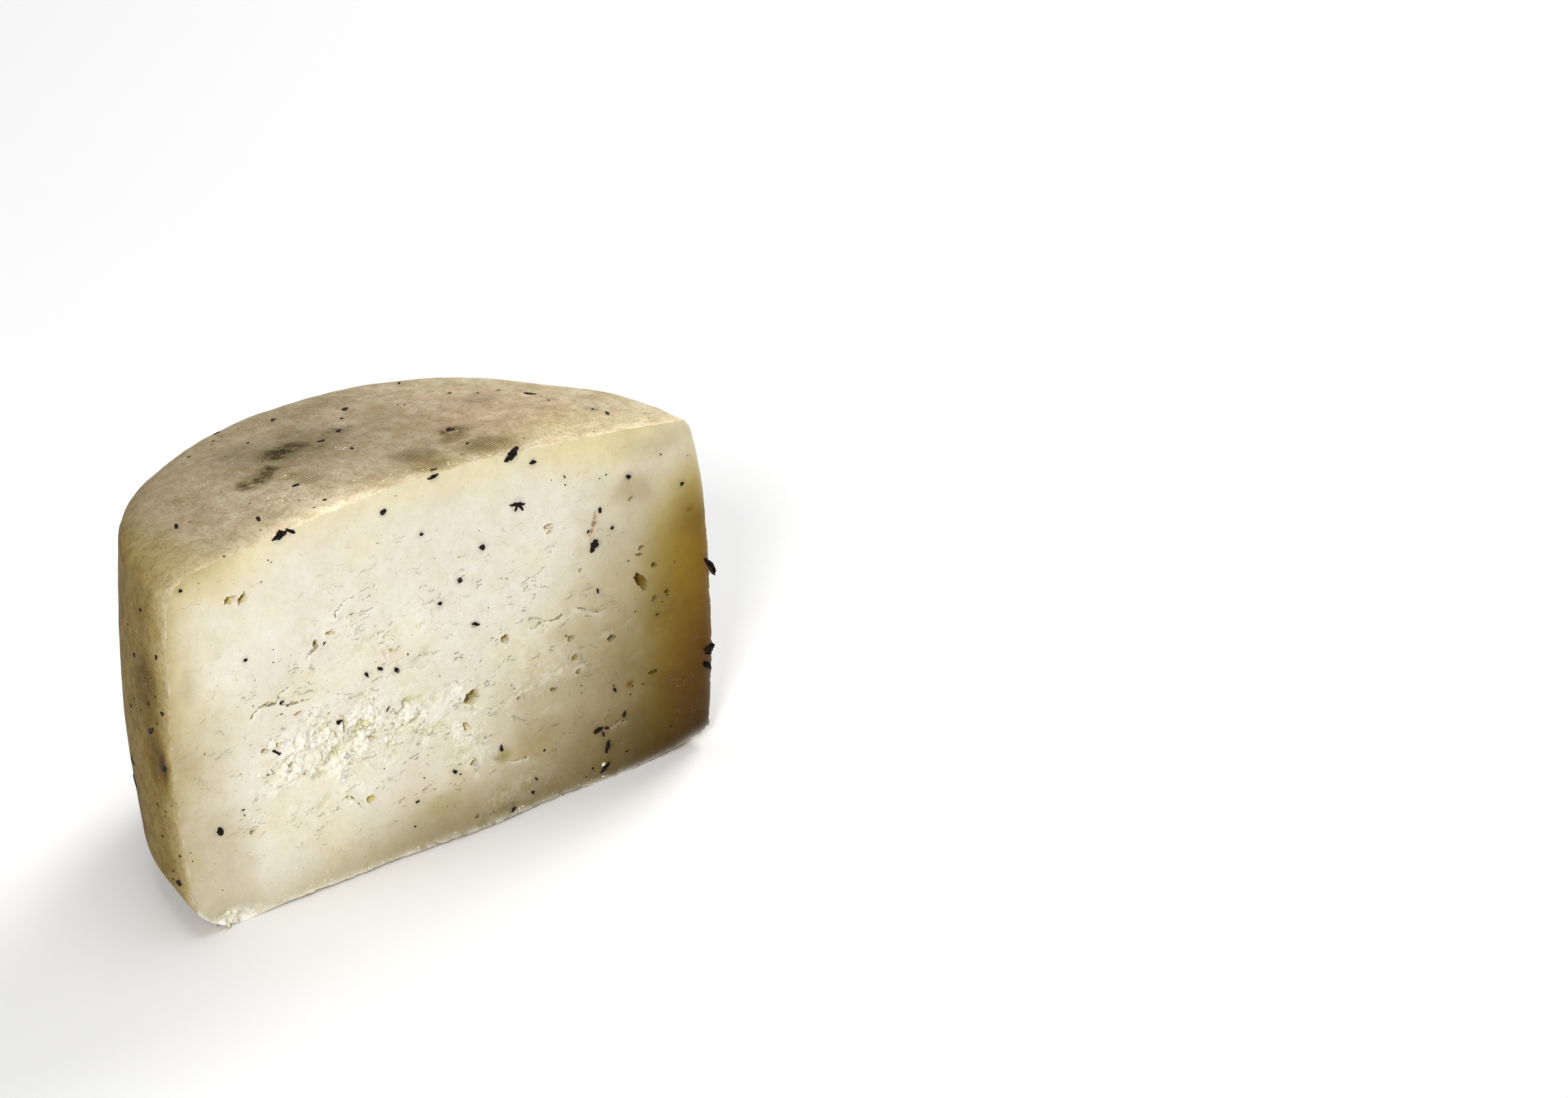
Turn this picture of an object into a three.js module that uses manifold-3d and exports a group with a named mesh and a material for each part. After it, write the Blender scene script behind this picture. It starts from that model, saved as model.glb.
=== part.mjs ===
// Half a wheel of aged sheep's milk cheese with black truffle, cut down through its middle.
// The paste is one solid. Its rind is only the pressed and dried outside of that paste, and the
// truffle chips, the eyes and the torn places that show are relief in the same body.
//
// Millimetres, +Z up. X runs along the cut, the cut face looks along -Y, and the flat base lies on
// z = 0. The origin is the middle of the base's bounding box.

import * as THREE from 'three';
import { mergeVertices } from 'three/addons/utils/BufferGeometryUtils.js';
import { ImprovedNoise } from 'three/addons/math/ImprovedNoise.js';
import Module from 'manifold-3d';

const wasm = await Module();
wasm.setup();

// Driving dimensions of the wheel
const WHEEL_RADIUS = 72.8; // at the foot of the shoulder; the belly brings the widest part to 75
const WHEEL_HEIGHT = 93.4;
const DOME_FALL = 4.6; // the top falls this much from its middle to the start of the shoulder
const TOP_TILT = 0.023; // and it leans towards +X by this share of the run
const AXIS_X = -0.6; // where the wheel's own axis stands, with the cut passing through it
const CUT_Y = -36.4;

// The wheel slumped a little in its mould, so the rim at one end of the cut isn't the other's.
// A shoulder and a foot are quarter ellipses, and the wall between them bellies out.
const LEFT_RIM = {
  shoulderWide: 19, shoulderTall: 6.5, footWide: 25, footTall: 11.9, footRadius: 72.1, belly: 1.9,
};
const RIGHT_RIM = {
  shoulderWide: 6.7, shoulderTall: 29, footWide: 34, footTall: 4.5, footRadius: 73.9, belly: 1.6,
};
// Paste pressed out by the knife squares the left foot right beside the cut.
const PRESSED_FOOT = { footWide: 14, footTall: 10.5, reach: 0.11 };

// How finely the rind and the cut face are divided
const STEPS_AROUND = 76;
const FOOT_STEPS = 7;
const WALL_STEPS = 7;
const SHOULDER_STEPS = 7;
const TOP_STEPS = 9;
const CUT_COLUMN = 3;
const CUT_ROW = 3;
const LOW_ROWS = [-2, 0, 0.9, 2, 3.6]; // rows are closer together at the ragged foot of the cut
const CUT_SPARE = { across: 8, above: 4, behind: 10 }; // how far the cutting block passes the wheel

// Unevenness of the rind, which is flat again where it stands, and of the cut
const RIND_SWELL = 0.45;
const RIND_SWELL_SIZE = 19;
const RIND_SWELL_FROM = 1;
const RIND_SWELL_FULL = 12;
const CUT_WANDER = 0.22;
const CUT_WANDER_SIZE = 24;

// The paste bulges out at the foot of the cut, where the knife stopped and was pressed through
const FOOT_BOW = { proud: 1.1, x: 7, halfWide: 13, tall: 9 };
// Below this height the knife ran a little deeper
const KNIFE_STEP = { deep: 0.3, z: 44.5, blend: 2, x: -42, halfWide: 26 };
// A thin ragged lip of paste hangs along the foot
const LIP_PROUD = 1.1;
const LIP_TALL = 1.3;
const LIP_NOTCH_SIZE = 2.3;
// Torn paste breaks into crumbs of about this size
const CRUMB_WIDE = 3.1;
const CRUMB_TALL = 2.6;

// Where the paste tore under the knife: x, z, half width, half height, roughness
const TORN_PLACES = [
  [-34, 36, 19, 8.5, 0.75],
  [-62, 3.5, 9, 5, 0.8],
  [4, 24, 7, 9, 0.35],
  [-33, 64, 9, 5, 0.4],
  [-20, 57, 12, 4, 0.3],
  [16, 6, 13, 6, 0.3],
];

// Eyes in the cut face: x, z, wide, tall, turn in degrees, deep
const EYES = [
  [4.4, 34.7, 3.7, 4.2, 20, 3.2],
  [14.3, 46.7, 2.3, 1.9, 35, 2.6],
  [2.7, 27.8, 1.6, 3.2, 35, 1.7],
  [4, 17.9, 2, 1.4, 0, 1.6],
  [27.4, 70.9, 2.8, 1.3, -8, 2],
  [27.6, 69.3, 2, 0.9, 5, 0.9],
  [53.4, 49, 2.6, 6, 40, 2.8],
  [57.6, 51.7, 2.1, 1.3, -20, 1.5],
  [54, 57.3, 2.1, 0.9, 5, 1.6],
  [53.6, 55.7, 2.2, 0.9, -8, 1.1],
  [57.6, 43, 1.2, 1.9, -20, 1.1],
  [61.4, 43.5, 1.6, 1.1, 10, 1.4],
  [44.7, 36.7, 2.4, 1.7, 10, 2],
  [51.2, 70.8, 1.6, 0.9, 35, 1.2],
  [33, 40.4, 2.3, 1.6, -15, 1],
  [33.9, 35.2, 1.7, 1.6, 0, 1.1],
  [34.9, 31.2, 1.6, 1.3, 10, 1.1],
  [27.7, 28.8, 2.2, 1, -20, 1.2],
  [17.8, 30, 1.1, 1.1, 0, 0.8],
  [36.2, 57, 1.3, 1.2, 0, 0.9],
  [57, 23.7, 3, 1.3, 5, 1],
  [-57.4, 79.4, 3.4, 2, 12, 2],
  [-54.3, 78.8, 2.2, 2.6, -35, 2.6],
  [-44.5, 34.4, 1.5, 1.9, 0, 2.2],
  [-36.4, 62, 1.6, 2.2, 20, 2],
  [-32.6, 63.3, 3.2, 1, -18, 1.2],
  [-50.4, 51.6, 3, 0.9, 18, 1.4],
  [-48.4, 51.1, 1.3, 1, 0, 1.2],
  [-42.2, 46.6, 2.4, 1, 5, 1.3],
  [-51.2, 40.2, 2, 1.2, 5, 1.2],
  [-47.4, 40.8, 2.2, 1.5, 10, 1.4],
  [-29.9, 38.9, 1.1, 3.9, 6, 2.2],
  [-33.7, 43.5, 1.1, 0.8, 0, 0.9],
  [-22.9, 33.5, 2.4, 1.4, -20, 1.6],
  [-24, 18.3, 2.7, 1.9, 15, 1.3],
  [-29.6, 20.7, 2.8, 0.8, -28, 1.1],
  [-55.5, 21.3, 1.2, 1.4, 30, 1.2],
  [-16.8, 53.9, 1, 1.2, 30, 1.1],
  [-41, 31.2, 1, 2, 20, 0.9],
  [-24.2, 37.7, 3, 2.2, 0, 0.7],
  [4.3, 3.9, 1.3, 0.9, 10, 0.9],
];
const EYE_CORNERS = 7;
const EYE_ABOVE = 2; // what cuts an eye starts this far in front of the paste
const EYE_WALL = { scale: 0.96, depth: 0.6 }; // shares of the eye's outline and depth
const EYE_FLOOR = 0.5;

// Cracks in the cut face: how wide, how deep, then the way that each runs as x, z pairs
const CRACKS = [
  [0.7, 1.3, [-53.6, 49.4], [-52.3, 50.9], [-50.8, 51.5], [-49.4, 50.9], [-47, 50.9], [-45.6, 50.2]],
  [0.6, 1, [-45.6, 50.2], [-44.2, 49.5], [-42, 49.6], [-39, 49]],
  [0.6, 1, [-46.9, 51.2], [-46.5, 52.6], [-44.4, 53.5]],
  [0.6, 1, [-39, 58.9], [-37.7, 60.2], [-36.2, 60.7], [-35.4, 61.3]],
  [0.5, 0.8, [-31, 66.5], [-30.6, 68.1], [-29.4, 68.6], [-28.5, 69.8], [-27.6, 70.4], [-25.4, 70.4]],
  [0.5, 0.8, [21.9, 47.1], [23.2, 46.5], [24.6, 47.3], [27, 47.1], [28.8, 46.8], [30.6, 47.3]],
  [0.5, 0.8, [35.2, 47.6], [36.9, 47], [38.4, 46.2], [39.8, 45.2], [41.4, 44.4]],
  [0.5, 0.7, [-26.4, 17.3], [-28.2, 19.2], [-29, 20.3]],
  [0.6, 0.9, [-38.2, 6.3], [-36.3, 5.4], [-35.6, 3], [-34.6, 1.2]],
  [0.5, 0.7, [20.6, 23.6], [22.2, 22.4], [22.9, 20.6], [23.8, 18]],
  [0.5, 0.7, [15.2, 14.4], [17, 14.1], [19, 13.8]],
  [0.5, 0.7, [44.8, 13.1], [46.2, 14], [48, 13.4]],
];
const CRACK_ABOVE = 1.2; // what cuts a crack starts this far in front of the paste

// Truffle chips in the cut face: x, z, long, wide, turn in degrees
const CUT_CHIPS = [
  [19, 79, 3.9, 1, -13], [18.6, 78, 1.7, 0.7, 60], [20, 78, 1.6, 0.7, -50],
  [40.4, 62.2, 2.9, 2.3, 75], [18, 91.4, 3.6, 2, 35], [-44, 90.4, 3.6, 1.5, 12],
  [-41.2, 90.8, 2.2, 0.8, -35], [-17, 88, 1.3, 1.2, 0], [23.6, 88.1, 1.6, 0.9, -12],
  [-3.4, 92.6, 2.4, 1, 0], [9, 71.5, 1.4, 1.3, 0], [2.4, 65.1, 1.3, 1.2, 0],
  [6.4, 52.8, 1.9, 0.8, -18], [-3, 61, 1.3, 0.9, -10], [-23.6, 50, 1.5, 0.8, -62],
  [-19.8, 50.1, 1.7, 0.7, -32], [-15.6, 48.4, 1.5, 1.1, -40], [50.8, 76.5, 1.3, 1.2, 0],
  [42.3, 70.5, 1.3, 0.8, 85], [45.7, 64.9, 1.1, 0.9, -30], [66.2, 70.2, 1, 0.9, 0],
  [41.2, 50.1, 1.4, 0.6, 95], [-63.8, 24.5, 1.7, 1.5, -50], [-48.2, 38.9, 2.4, 0.8, -42],
  [-31.2, 40.4, 1.2, 0.9, 20], [-50, 34.2, 1.3, 0.6, 20], [-46.2, 50.8, 1.3, 0.7, 0],
  [-1, 17.3, 1.5, 0.8, -35], [12.3, 18.7, 1.7, 0.8, 85], [14.7, 1.9, 1.6, 1, 25],
  [20.8, 4.1, 1, 0.8, -40], [43, 8.4, 3.5, 1.2, 82], [40.4, 13.7, 2.7, 1, 10],
  [41.7, 12.4, 1.6, 0.7, -70], [42.9, 13.5, 1.3, 0.7, -10], [42.1, 3.1, 2.6, 1.1, 35],
  [48.1, 15.2, 1.4, 0.8, 70], [45.5, 22.7, 1.2, 0.8, -60], [-69.4, 85.4, 1, 0.8, -30],
  [-7.3, 79.6, 0.9, 0.8, 0], [-54.5, 64, 0.9, 0.7, 25], [22, 7.1, 1.3, 0.6, -60],
];
// Chips that lie across the rim at the right end of the cut and stand out of it
const RIM_CHIPS = [
  [74.5, 46.2, 5, 1.6, 118, 1.4], [73.9, 24, 3, 2.2, 40, 1.2], [73.2, 20.2, 3.4, 1.4, -40, 1],
];
// Truffle chips in the rind's top: x, y from the wheel's axis, long, wide, turn in degrees
const TOP_CHIPS = [
  [-9.5, 55.5, 2, 1.3, 40], [5.5, 48.3, 1.9, 1.4, 15], [-10.3, 34.2, 2.2, 0.9, 0],
  [15.5, 20.4, 2.2, 1.6, -25], [45.4, 30.8, 2.7, 1.8, -60], [53, 10.6, 2.6, 0.9, 70],
  [-43.2, 9.4, 3, 0.9, 60], [-28.3, 5.8, 1.3, 0.8, 10], [-56.6, 22, 2.5, 0.8, 65],
  [-28.4, 16.9, 2.4, 0.9, 5], [-3.6, 37.4, 2.3, 0.9, 35], [26, 56, 2, 0.7, 50],
  [-7.7, 25.9, 1.3, 0.9, 80], [13.5, 10.8, 1.1, 0.8, 20], [1.7, 44, 1.2, 0.9, 30],
];
// And in its side: angle round the axis from +X, height, long, wide, turn in degrees
const SIDE_CHIPS = [
  [176.4, 69.5, 1.5, 1, -60], [177.2, 56.5, 1.9, 1.2, -35], [172.4, 49.5, 3.1, 1.3, -40],
  [176.6, 42.5, 2.2, 1.5, -40], [178.4, 21, 1.4, 0.9, -30], [176.2, 12.6, 3.4, 1.6, -22],
  [167.4, 6.4, 3.2, 1.4, -10], [166, 64.5, 1.3, 1, -30], [170.2, 77.5, 1.3, 0.9, -20],
  [141, 40, 2.2, 1.2, 20], [118, 60, 1.8, 1.3, -35], [96, 33, 2.6, 1.2, 15],
  [74, 55, 1.8, 1.2, 50], [52, 26, 2.4, 1.3, -20], [33, 66, 1.6, 1.1, 35], [14, 38, 2.1, 1.2, -30],
];
const CHIP_CORNERS = 6;
const CHIP_PROUD = 0.35;
const CHIP_DEEP = 1.4;
const CHIP_TOP = 0.72; // shares of a chip's outline at its top and at its root
const CHIP_ROOT = 0.6;
const CHIP_WIDEST = 0.3; // and of its height over the paste where it is widest

// An eye's or a chip's outline is a ring of corners, each moved along it and in or out
const CORNER_SHIFT = 0.5;
const CORNER_NEAR = 0.8;
const CORNER_FAR = 1.15;

const SAME_PLACE = 1e-5; // corners closer than this are one corner
const SLIVER = 0.02; // triangles thinner than this are merged into their neighbours

// Seeded random numbers from 0 to 1, so that each build gives the same cheese
let seed = 41;
function chance() {
  seed = (seed * 1664525 + 1013904223) % 4294967296;
  return seed / 4294967296;
}

const noise = new ImprovedNoise();
const degrees = THREE.MathUtils.degToRad;
const mix = THREE.MathUtils.lerp;

// A closed solid from its corner positions and triangles
function solidOf(corners, triangles) {
  const geometry = new THREE.BufferGeometry();
  const flat = corners.flatMap((corner) => [corner.x, corner.y, corner.z]);
  geometry.setAttribute('position', new THREE.Float32BufferAttribute(flat, 3));
  geometry.setIndex(triangles);
  const merged = mergeVertices(geometry, SAME_PLACE);
  return new wasm.Manifold(
    new wasm.Mesh({
      numProp: 3,
      vertProperties: new Float32Array(merged.attributes.position.array),
      triVerts: new Uint32Array(merged.index.array),
    }),
  );
}

// A closed solid through rings that all have the same number of corners, its two ends fanned
function loft(rings) {
  const count = rings[0].length;
  const triangles = [];
  for (let ring = 0; ring + 1 < rings.length; ring++) {
    for (let i = 0; i < count; i++) {
      const a = ring * count + i;
      const b = ring * count + ((i + 1) % count);
      triangles.push(a, b, b + count, a, b + count, a + count);
    }
  }
  const last = (rings.length - 1) * count;
  for (let i = 1; i + 1 < count; i++) {
    triangles.push(0, i + 1, i, last, last + i, last + i + 1);
  }
  const solid = solidOf(rings.flat(), triangles);
  return solid.volume() > 0 ? solid : loft([...rings].reverse()); // negative when inside out
}

// The rim's sizes at an angle round the axis: 0 is the right end of the cut, pi the left end
function rimAt(angle) {
  const right = (1 + Math.cos(angle)) / 2;
  const rim = {};
  for (const size of Object.keys(LEFT_RIM)) {
    rim[size] = mix(LEFT_RIM[size], RIGHT_RIM[size], right);
  }
  const pressed = Math.exp(-(((angle - Math.PI) / PRESSED_FOOT.reach) ** 2));
  rim.footWide = mix(rim.footWide, PRESSED_FOOT.footWide, pressed);
  rim.footTall = mix(rim.footTall, PRESSED_FOOT.footTall, pressed);
  return rim;
}

// The top's height at a radius and an angle
function topHeight(radius, angle) {
  const rim = rimAt(angle);
  const share = radius / (WHEEL_RADIUS - rim.shoulderWide);
  return WHEEL_HEIGHT - DOME_FALL * share * share - TOP_TILT * Math.cos(angle) * radius;
}

// The wheel's outline at an angle, as radius and height, from the foot of the base to the top
function outlineAt(angle) {
  const rim = rimAt(angle);
  const shoulderRadius = WHEEL_RADIUS - rim.shoulderWide;
  const wallTop = topHeight(shoulderRadius, angle) - rim.shoulderTall;
  const points = [];
  for (let i = 0; i <= FOOT_STEPS; i++) {
    const turn = (Math.PI / 2) * (i / FOOT_STEPS);
    points.push([
      rim.footRadius - rim.footWide * (1 - Math.sin(turn)),
      rim.footTall * (1 - Math.cos(turn)),
    ]);
  }
  for (let i = 1; i < WALL_STEPS; i++) {
    const share = i / WALL_STEPS;
    points.push([
      mix(rim.footRadius, WHEEL_RADIUS, share) + rim.belly * 4 * share * (1 - share),
      mix(rim.footTall, wallTop, share),
    ]);
  }
  for (let i = 0; i <= SHOULDER_STEPS; i++) {
    const turn = (Math.PI / 2) * (i / SHOULDER_STEPS);
    points.push([
      shoulderRadius + rim.shoulderWide * Math.cos(turn),
      wallTop + rim.shoulderTall * Math.sin(turn),
    ]);
  }
  for (let i = 1; i < TOP_STEPS; i++) {
    const radius = shoulderRadius * (1 - i / TOP_STEPS);
    points.push([radius, topHeight(radius, angle)]);
  }
  return points;
}

// How far the rind swells or sinks at a place on it
function rindSwell(x, y, z) {
  const rise = THREE.MathUtils.smoothstep(z, RIND_SWELL_FROM, RIND_SWELL_FULL);
  const size = RIND_SWELL_SIZE;
  return RIND_SWELL * rise * noise.noise(x / size, y / size, z / size);
}

// The whole wheel before it is cut
function wheel() {
  const corners = [new THREE.Vector3(AXIS_X, CUT_Y, 0)];
  const rows = [];
  for (let step = 0; step < STEPS_AROUND; step++) {
    const angle = (2 * Math.PI * step) / STEPS_AROUND;
    const row = [];
    for (const [radius, height] of outlineAt(Math.min(angle, 2 * Math.PI - angle))) {
      const x = radius * Math.cos(angle);
      const y = radius * Math.sin(angle);
      const swell = 1 + rindSwell(x, y, height) / WHEEL_RADIUS;
      row.push(corners.length);
      corners.push(new THREE.Vector3(AXIS_X + x * swell, CUT_Y + y * swell, height * swell));
    }
    rows.push(row);
  }
  const peak = corners.length;
  corners.push(new THREE.Vector3(AXIS_X, CUT_Y, WHEEL_HEIGHT));
  const triangles = [];
  for (let step = 0; step < STEPS_AROUND; step++) {
    const here = rows[step];
    const next = rows[(step + 1) % STEPS_AROUND];
    const last = here.length - 1;
    triangles.push(0, next[0], here[0], here[last], next[last], peak);
    for (let i = 0; i < last; i++) {
      triangles.push(here[i], next[i], next[i + 1], here[i], next[i + 1], here[i + 1]);
    }
  }
  return solidOf(corners, triangles);
}

// A hump that is 1 at a middle and fades to both sides
function hump(value, middle, halfWide) {
  return Math.exp(-(((value - middle) / halfWide) ** 2));
}

// How far the cut face stands behind its plane at a place on it, measured from the axis
function cutDepth(x, z) {
  const above = Math.max(z, 0);
  const slow = CUT_WANDER * noise.noise(x / CUT_WANDER_SIZE, 3.7, z / CUT_WANDER_SIZE);
  const bow = FOOT_BOW.proud * hump(x, FOOT_BOW.x, FOOT_BOW.halfWide) * Math.exp(-above / FOOT_BOW.tall);
  const below = THREE.MathUtils.smoothstep(KNIFE_STEP.z - z, 0, KNIFE_STEP.blend);
  const step = KNIFE_STEP.deep * below * hump(x, KNIFE_STEP.x, KNIFE_STEP.halfWide);
  const crumbled = 0.5 + 1.6 * noise.noise(x / CRUMB_WIDE, 8.2, z / CRUMB_TALL);
  let torn = 0;
  for (const [atX, atZ, halfWide, halfTall, rough] of TORN_PLACES) {
    const inside = 1 - Math.hypot((x - atX) / halfWide, (z - atZ) / halfTall);
    if (inside > 0) {
      torn += rough * Math.min(1, 2 * inside) * crumbled;
    }
  }
  const notched = 0.55 + 0.9 * noise.noise(x / LIP_NOTCH_SIZE, 5.1, 0.4);
  const lip = LIP_PROUD * Math.exp(-above / LIP_TALL) * notched;
  return slow - bow + step + torn - lip;
}

// The side of the cut that is kept: a block whose front is the relief of the cut face
function keptSide() {
  const reach = WHEEL_RADIUS + CUT_SPARE.across;
  const columns = [];
  for (let x = -reach; x <= reach; x += CUT_COLUMN) {
    columns.push(x);
  }
  const heights = [...LOW_ROWS];
  for (let z = LOW_ROWS.at(-1) + CUT_ROW; z <= WHEEL_HEIGHT + CUT_SPARE.above; z += CUT_ROW) {
    heights.push(z);
  }
  const corners = [];
  for (const z of heights) {
    for (const x of columns) {
      corners.push(new THREE.Vector3(AXIS_X + x, CUT_Y + cutDepth(x, z), z));
    }
  }
  const front = corners.length;
  for (const z of heights) {
    for (const x of columns) {
      corners.push(new THREE.Vector3(AXIS_X + x, CUT_Y + WHEEL_RADIUS + CUT_SPARE.behind, z));
    }
  }
  const across = columns.length;
  const triangles = [];
  const quad = (a, b, c, d) => triangles.push(a, b, c, a, c, d);
  for (let row = 0; row + 1 < heights.length; row++) {
    for (let i = 0; i + 1 < across; i++) {
      const a = row * across + i;
      const c = a + across;
      quad(a, a + 1, c + 1, c);
      quad(c + 1 + front, a + 1 + front, a + front, c + front);
    }
    const left = row * across;
    const right = left + across - 1;
    quad(left, left + across, left + across + front, left + front);
    quad(right, right + front, right + across + front, right + across);
  }
  const topRow = (heights.length - 1) * across;
  for (let i = 0; i + 1 < across; i++) {
    const t = topRow + i;
    quad(i, i + front, i + 1 + front, i + 1);
    quad(t, t + 1, t + 1 + front, t + front);
  }
  return solidOf(corners, triangles);
}

// Places on the surface: where they are, and the ways across, up and out
function onCut(x, z) {
  return {
    at: new THREE.Vector3(AXIS_X + x, CUT_Y + cutDepth(x, z), z),
    across: new THREE.Vector3(1, 0, 0),
    up: new THREE.Vector3(0, 0, 1),
    out: new THREE.Vector3(0, -1, 0),
  };
}

function onTop(x, y) {
  const z = topHeight(Math.hypot(x, y), Math.atan2(y, x));
  return {
    at: new THREE.Vector3(AXIS_X + x, CUT_Y + y, z + rindSwell(x, y, z)),
    across: new THREE.Vector3(1, 0, 0),
    up: new THREE.Vector3(0, 1, 0),
    out: new THREE.Vector3(0, 0, 1),
  };
}

function onSide(angleDegrees, height) {
  const angle = degrees(angleDegrees);
  const points = outlineAt(angle);
  const above = points.findIndex(([, z]) => z > height);
  const [r0, z0] = points[above - 1];
  const [r1, z1] = points[above];
  const radius = mix(r0, r1, (height - z0) / (z1 - z0));
  const x = radius * Math.cos(angle);
  const y = radius * Math.sin(angle);
  const swell = 1 + rindSwell(x, y, height) / WHEEL_RADIUS;
  const slope = Math.atan2(r0 - r1, z1 - z0);
  const away = new THREE.Vector3(Math.cos(angle), Math.sin(angle), 0);
  const rise = new THREE.Vector3(0, 0, 1);
  return {
    at: new THREE.Vector3(AXIS_X + x * swell, CUT_Y + y * swell, height * swell),
    across: new THREE.Vector3(-Math.sin(angle), Math.cos(angle), 0),
    up: rise.clone().multiplyScalar(Math.cos(slope)).addScaledVector(away, -Math.sin(slope)),
    out: away.clone().multiplyScalar(Math.cos(slope)).addScaledVector(rise, Math.sin(slope)),
  };
}

// An uneven ring of corners in a place's own plane, and copies of it at other depths
function unevenRing(corners, long, wide, turnDegrees) {
  const turn = degrees(turnDegrees);
  const ring = [];
  for (let i = 0; i < corners; i++) {
    const angle = (2 * Math.PI * (i + CORNER_SHIFT * (chance() - 0.5))) / corners;
    const reach = 0.5 * mix(CORNER_NEAR, CORNER_FAR, chance());
    const u = long * reach * Math.cos(angle);
    const v = wide * reach * Math.sin(angle);
    ring.push([u * Math.cos(turn) - v * Math.sin(turn), u * Math.sin(turn) + v * Math.cos(turn)]);
  }
  return ring;
}

function ringAt(place, ring, scale, outwards) {
  return ring.map(([u, v]) =>
    place.at
      .clone()
      .addScaledVector(place.across, u * scale)
      .addScaledVector(place.up, v * scale)
      .addScaledVector(place.out, outwards),
  );
}

// What an eye takes out of the paste: straight sides that close in towards an uneven floor
function eye([x, z, wide, tall, turn, deep]) {
  const place = onCut(x, z);
  const ring = unevenRing(EYE_CORNERS, wide, tall, turn);
  return loft([
    ringAt(place, ring, 1, EYE_ABOVE),
    ringAt(place, ring, EYE_WALL.scale, -EYE_WALL.depth * deep),
    ringAt(place, ring, EYE_FLOOR, -deep),
  ]);
}

// A truffle chip: widest at the surface, a little proud of it and rooted in the paste
function chip(place, long, wide, turn, proud = CHIP_PROUD) {
  const ring = unevenRing(CHIP_CORNERS, long, wide, turn);
  return loft([
    ringAt(place, ring, CHIP_TOP, proud),
    ringAt(place, ring, 1, CHIP_WIDEST * proud),
    ringAt(place, ring, CHIP_ROOT, -CHIP_DEEP),
  ]);
}

// A groove with a V section along a crack
function crack([wide, deep, ...route]) {
  const halfAbove = (wide / 2) * ((deep + CRACK_ABOVE) / deep);
  const rings = route.map(([x, z], i) => {
    const [fromX, fromZ] = route[Math.max(i - 1, 0)];
    const [toX, toZ] = route[Math.min(i + 1, route.length - 1)];
    const run = Math.hypot(toX - fromX, toZ - fromZ);
    const sideX = (-(toZ - fromZ) / run) * halfAbove;
    const sideZ = ((toX - fromX) / run) * halfAbove;
    const place = onCut(x, z);
    const corner = (u, v, outwards) => ringAt(place, [[u, v]], 1, outwards)[0];
    return [
      corner(sideX, sideZ, CRACK_ABOVE),
      corner(-sideX, -sideZ, CRACK_ABOVE),
      corner(0, 0, -deep),
    ];
  });
  return loft(rings);
}

function joined(solids) {
  return solids.reduce((all, one) => all.add(one));
}

function larger(one, other) {
  return one.volume() > other.volume() ? one : other;
}

// The wheel, cut, with its eyes and cracks taken out and its chips put in, less any loose scrap
function cheese() {
  const cuts = [...EYES.map(eye), ...CRACKS.map(crack)];
  const chips = [
    ...CUT_CHIPS.map(([x, z, ...sizes]) => chip(onCut(x, z), ...sizes)),
    ...RIM_CHIPS.map(([x, z, ...sizes]) => chip(onCut(x, z), ...sizes)),
    ...TOP_CHIPS.map(([x, y, ...sizes]) => chip(onTop(x, y), ...sizes)),
    ...SIDE_CHIPS.map(([angle, z, ...sizes]) => chip(onSide(angle, z), ...sizes)),
  ];
  const body = wheel().intersect(keptSide()).subtract(joined(cuts)).add(joined(chips));
  return body.decompose().reduce(larger).simplify(SLIVER);
}

// A named mesh for the scene from a finished solid
function meshOf(solid, name, material) {
  const { vertProperties, triVerts } = solid.getMesh();
  const geometry = new THREE.BufferGeometry();
  geometry.setAttribute('position', new THREE.BufferAttribute(vertProperties, 3));
  geometry.setIndex(new THREE.BufferAttribute(triVerts, 1));
  geometry.computeVertexNormals();
  const mesh = new THREE.Mesh(geometry, material);
  mesh.name = name;
  return mesh;
}

const paste = new THREE.MeshStandardMaterial({ color: 0xe3d8b8, roughness: 0.6, metalness: 0 });

const group = new THREE.Group();
group.add(meshOf(cheese(), 'cheese_half_wheel', paste));

export default group;
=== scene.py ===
import math

import bpy
import numpy as np
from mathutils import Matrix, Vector
from mathutils.geometry import delaunay_2d_cdt
from mathutils.kdtree import KDTree


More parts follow.
